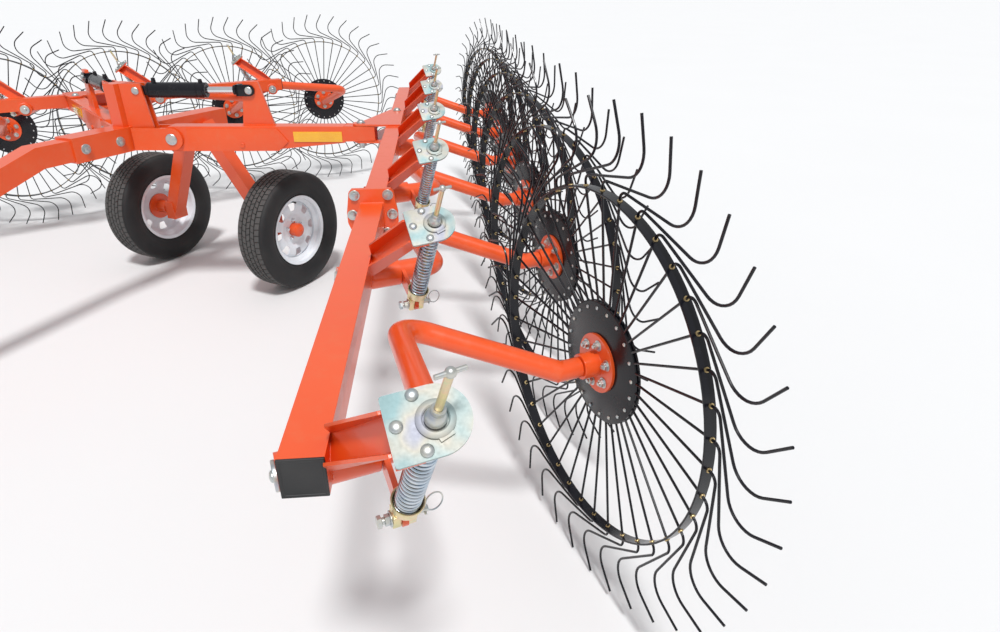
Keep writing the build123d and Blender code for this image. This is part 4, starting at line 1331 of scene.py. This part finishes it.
block_length = 2 * math.pi * tread_radius / tread_rows - block_gap
row = []
for k, (start, end, slant) in enumerate(BLOCK_ROWS):
    stagger = Matrix.Rotation(math.pi / tread_rows * (k % 2), 4, "Z")
    place = at(-tread_radius, 0, 0) @ stagger @ at(tread_radius, 0, 0)
    row.append((tread_block(start, end, slant, block_length), place))
tread = ring_of(gathered(*row), tread_rows, tread_radius, rubber)
on_sides("road_tyre", turned(tyre_outline, 96), at_wheel, rubber, "tyre_rubber", "road_wheel", "tyre")
on_sides("tyre_tread", tread, at_wheel, tread_rubber_dusty_and_lit, "tyre_rubber", "road_wheel")

# Outlines of radius and width: the rolled rim with its well, and the pressed disc inside it
RIM_OUTLINE = [
    (0.2055, 0.0755), (0.2062, 0.0730), (0.2050, 0.0702), (0.1975, 0.0695), (0.1905, 0.0660),
    (0.1905, 0.0450), (0.1725, 0.0360), (0.1725, -0.0120), (0.1905, -0.0320), (0.1905, -0.0660),
    (0.1975, -0.0695), (0.2050, -0.0702), (0.2062, -0.0730), (0.2055, -0.0755), (0.1960, -0.0745),
    (0.1865, -0.0700), (0.1865, -0.0310), (0.1685, -0.0100), (0.1685, 0.0340), (0.1865, 0.0470),
    (0.1865, 0.0700), (0.1960, 0.0745)]
DISC_OUTLINE = [
    (0.0410, 0.0240), (0.0800, 0.0240), (0.0860, 0.0252), (0.1030, 0.0360), (0.1090, 0.0372),
    (0.1460, 0.0372), (0.1520, 0.0355), (0.1640, 0.0262), (0.1700, 0.0240), (0.1700, 0.0180),
    (0.1630, 0.0205), (0.1500, 0.0302), (0.1450, 0.0315), (0.1110, 0.0315), (0.1050, 0.0304),
    (0.0860, 0.0195), (0.0800, 0.0180), (0.0410, 0.0180)]
window_corners = [(0.1130, -0.0190), (0.1590, -0.0300), (0.1590, 0.0300), (0.1130, 0.0190)]
window_round = 0.0110
window_count = 8
cutter_foot = 0.008
cutter_height = 0.040

window = plate_of(round_corners(window_corners, window_round, 5), cutter_height, 0.0002)
cutter = in_scene("windows", gathered(*[
    (window, Matrix.Rotation(2 * math.pi * i / window_count, 4, "Z") @ at(0, 0, cutter_foot))
    for i in range(window_count)]))
disc = in_scene("disc", turned(DISC_OUTLINE, 120))
cut = disc.modifiers.new("windows", "BOOLEAN")
cut.object = cutter
cut.operation = "DIFFERENCE"
disc_mesh = settled_mesh(disc)
bpy.data.objects.remove(cutter)
rim = gathered(turned(RIM_OUTLINE, 120), disc_mesh)
on_sides("white_rim", rim, at_wheel, white_paint, "rim_white", "road_wheel", "rim")

for side in SIDES:
    dress(f"road_hub_{side}", f"road_wheel_hub_{side}", orange_paint, "frame_paint", hub_round)
nut_cone = turned([(0, 0), (0.013, 0), (0.011, 0.004), (0, 0.004)], 24)
nut_dome = domed_head(0.0085, 0.005)
wheel_nut = gathered(hexagon(0.021, 0.015, False), nut_cone, (nut_dome, at(0, 0, 0.0145)))
nuts = gathered((ring_of(wheel_nut, wheel_nuts, nut_circle, chrome), at(0, 0, rim_face)))
on_sides("wheel_nuts", nuts, at_wheel, chrome, "bright_zinc", "road_wheel")
valve_stem = bar((0.172, 0, 0.024), (0.168, 0, 0.062), 0.0042)
valve_cap = bar((0.1685, 0, 0.058), (0.1675, 0, 0.068), 0.0055)
valve = gathered(valve_stem, valve_cap)
on_sides("tyre_valve", valve, at_wheel, black_plastic, "cap_plastic", "road_wheel")
grease_cap = turned([(0, 0), (0.036, 0), (0.036, 0.003), (0.033, 0.006), (0.028, 0.0085), (0.020, 0.0105),
                     (0, 0.0115)], 40)
grease_nipple = bar((0, 0, hub_end + 0.010), (0, 0, hub_end + 0.020), 0.0042)
hub_cap = gathered((grease_cap, at(0, 0, hub_end)), grease_nipple)
on_sides("hub_grease_cap", hub_cap, at_wheel, orange_paint, "frame_paint", "road_wheel")

# The jack's crank
# A zinc crank comes out of the jack's side near its top and hangs down to a black moulded grip.
# A domed orange cap closes the tube above it.
jack_radius = 0.036
shaft_radius = 0.0085
crank_radius = 0.0075
spindle_radius = 0.0065
crank_drop = 0.055
crank_past = up * 0.010
crank_out = Vector((0.040, 0, 0))
crank_fall = up * 0.150
grip_start = Vector((0.020, 0, 0))
grip_reach = Vector((0.104, 0, 0))
jack_node = frame["nodes"]["jack_sleeve"]
jack_corners = [jack_node.matrix_world @ Vector(corner) for corner in jack_node.bound_box]
jack_top = max(corner.z for corner in jack_corners)
jack_side = max(corner.x for corner in jack_corners)
jack_y = sum(corner.y for corner in jack_corners) / len(jack_corners)

crank_start = Vector((jack_side - 0.004, jack_y, jack_top - crank_drop))
crank_elbow = crank_start + crank_out
crank_foot = crank_elbow - crank_fall
crank_collar = turned([(shaft_radius, 0), (0.0165, 0), (0.0165, 0.006), (0.0150, 0.008),
                       (shaft_radius, 0.008)], 28)
crank = gathered(
    bar(crank_start, crank_elbow, shaft_radius),
    bar(crank_elbow + crank_past, crank_foot - crank_past, crank_radius),
    bar(crank_foot, crank_foot + grip_reach, spindle_radius),
    (crank_collar, Matrix.Translation(crank_start + Vector((0.003, 0, 0))) @ lying))
add_piece("jack_crank", crank, zinc_plate, "machine", "bright_zinc")
grip = turned([(0.0066, 0), (0.0125, 0.001), (0.0140, 0.006), (0.0125, 0.014), (0.0135, 0.040),
               (0.0125, 0.066), (0.0140, 0.074), (0.0115, 0.079), (0.0066, 0.080)], 28)
grip.transform(Matrix.Translation(crank_foot + grip_start) @ lying)
add_piece("jack_grip", grip, black_plastic, "machine", "cap_plastic")
tube_cap = domed_head(jack_radius + 0.0015, 0.012)
tube_cap.transform(at(jack_side - jack_radius, jack_y, jack_top - 0.0005))
add_piece("jack_cap", tube_cap, orange_paint, "machine", "frame_paint")
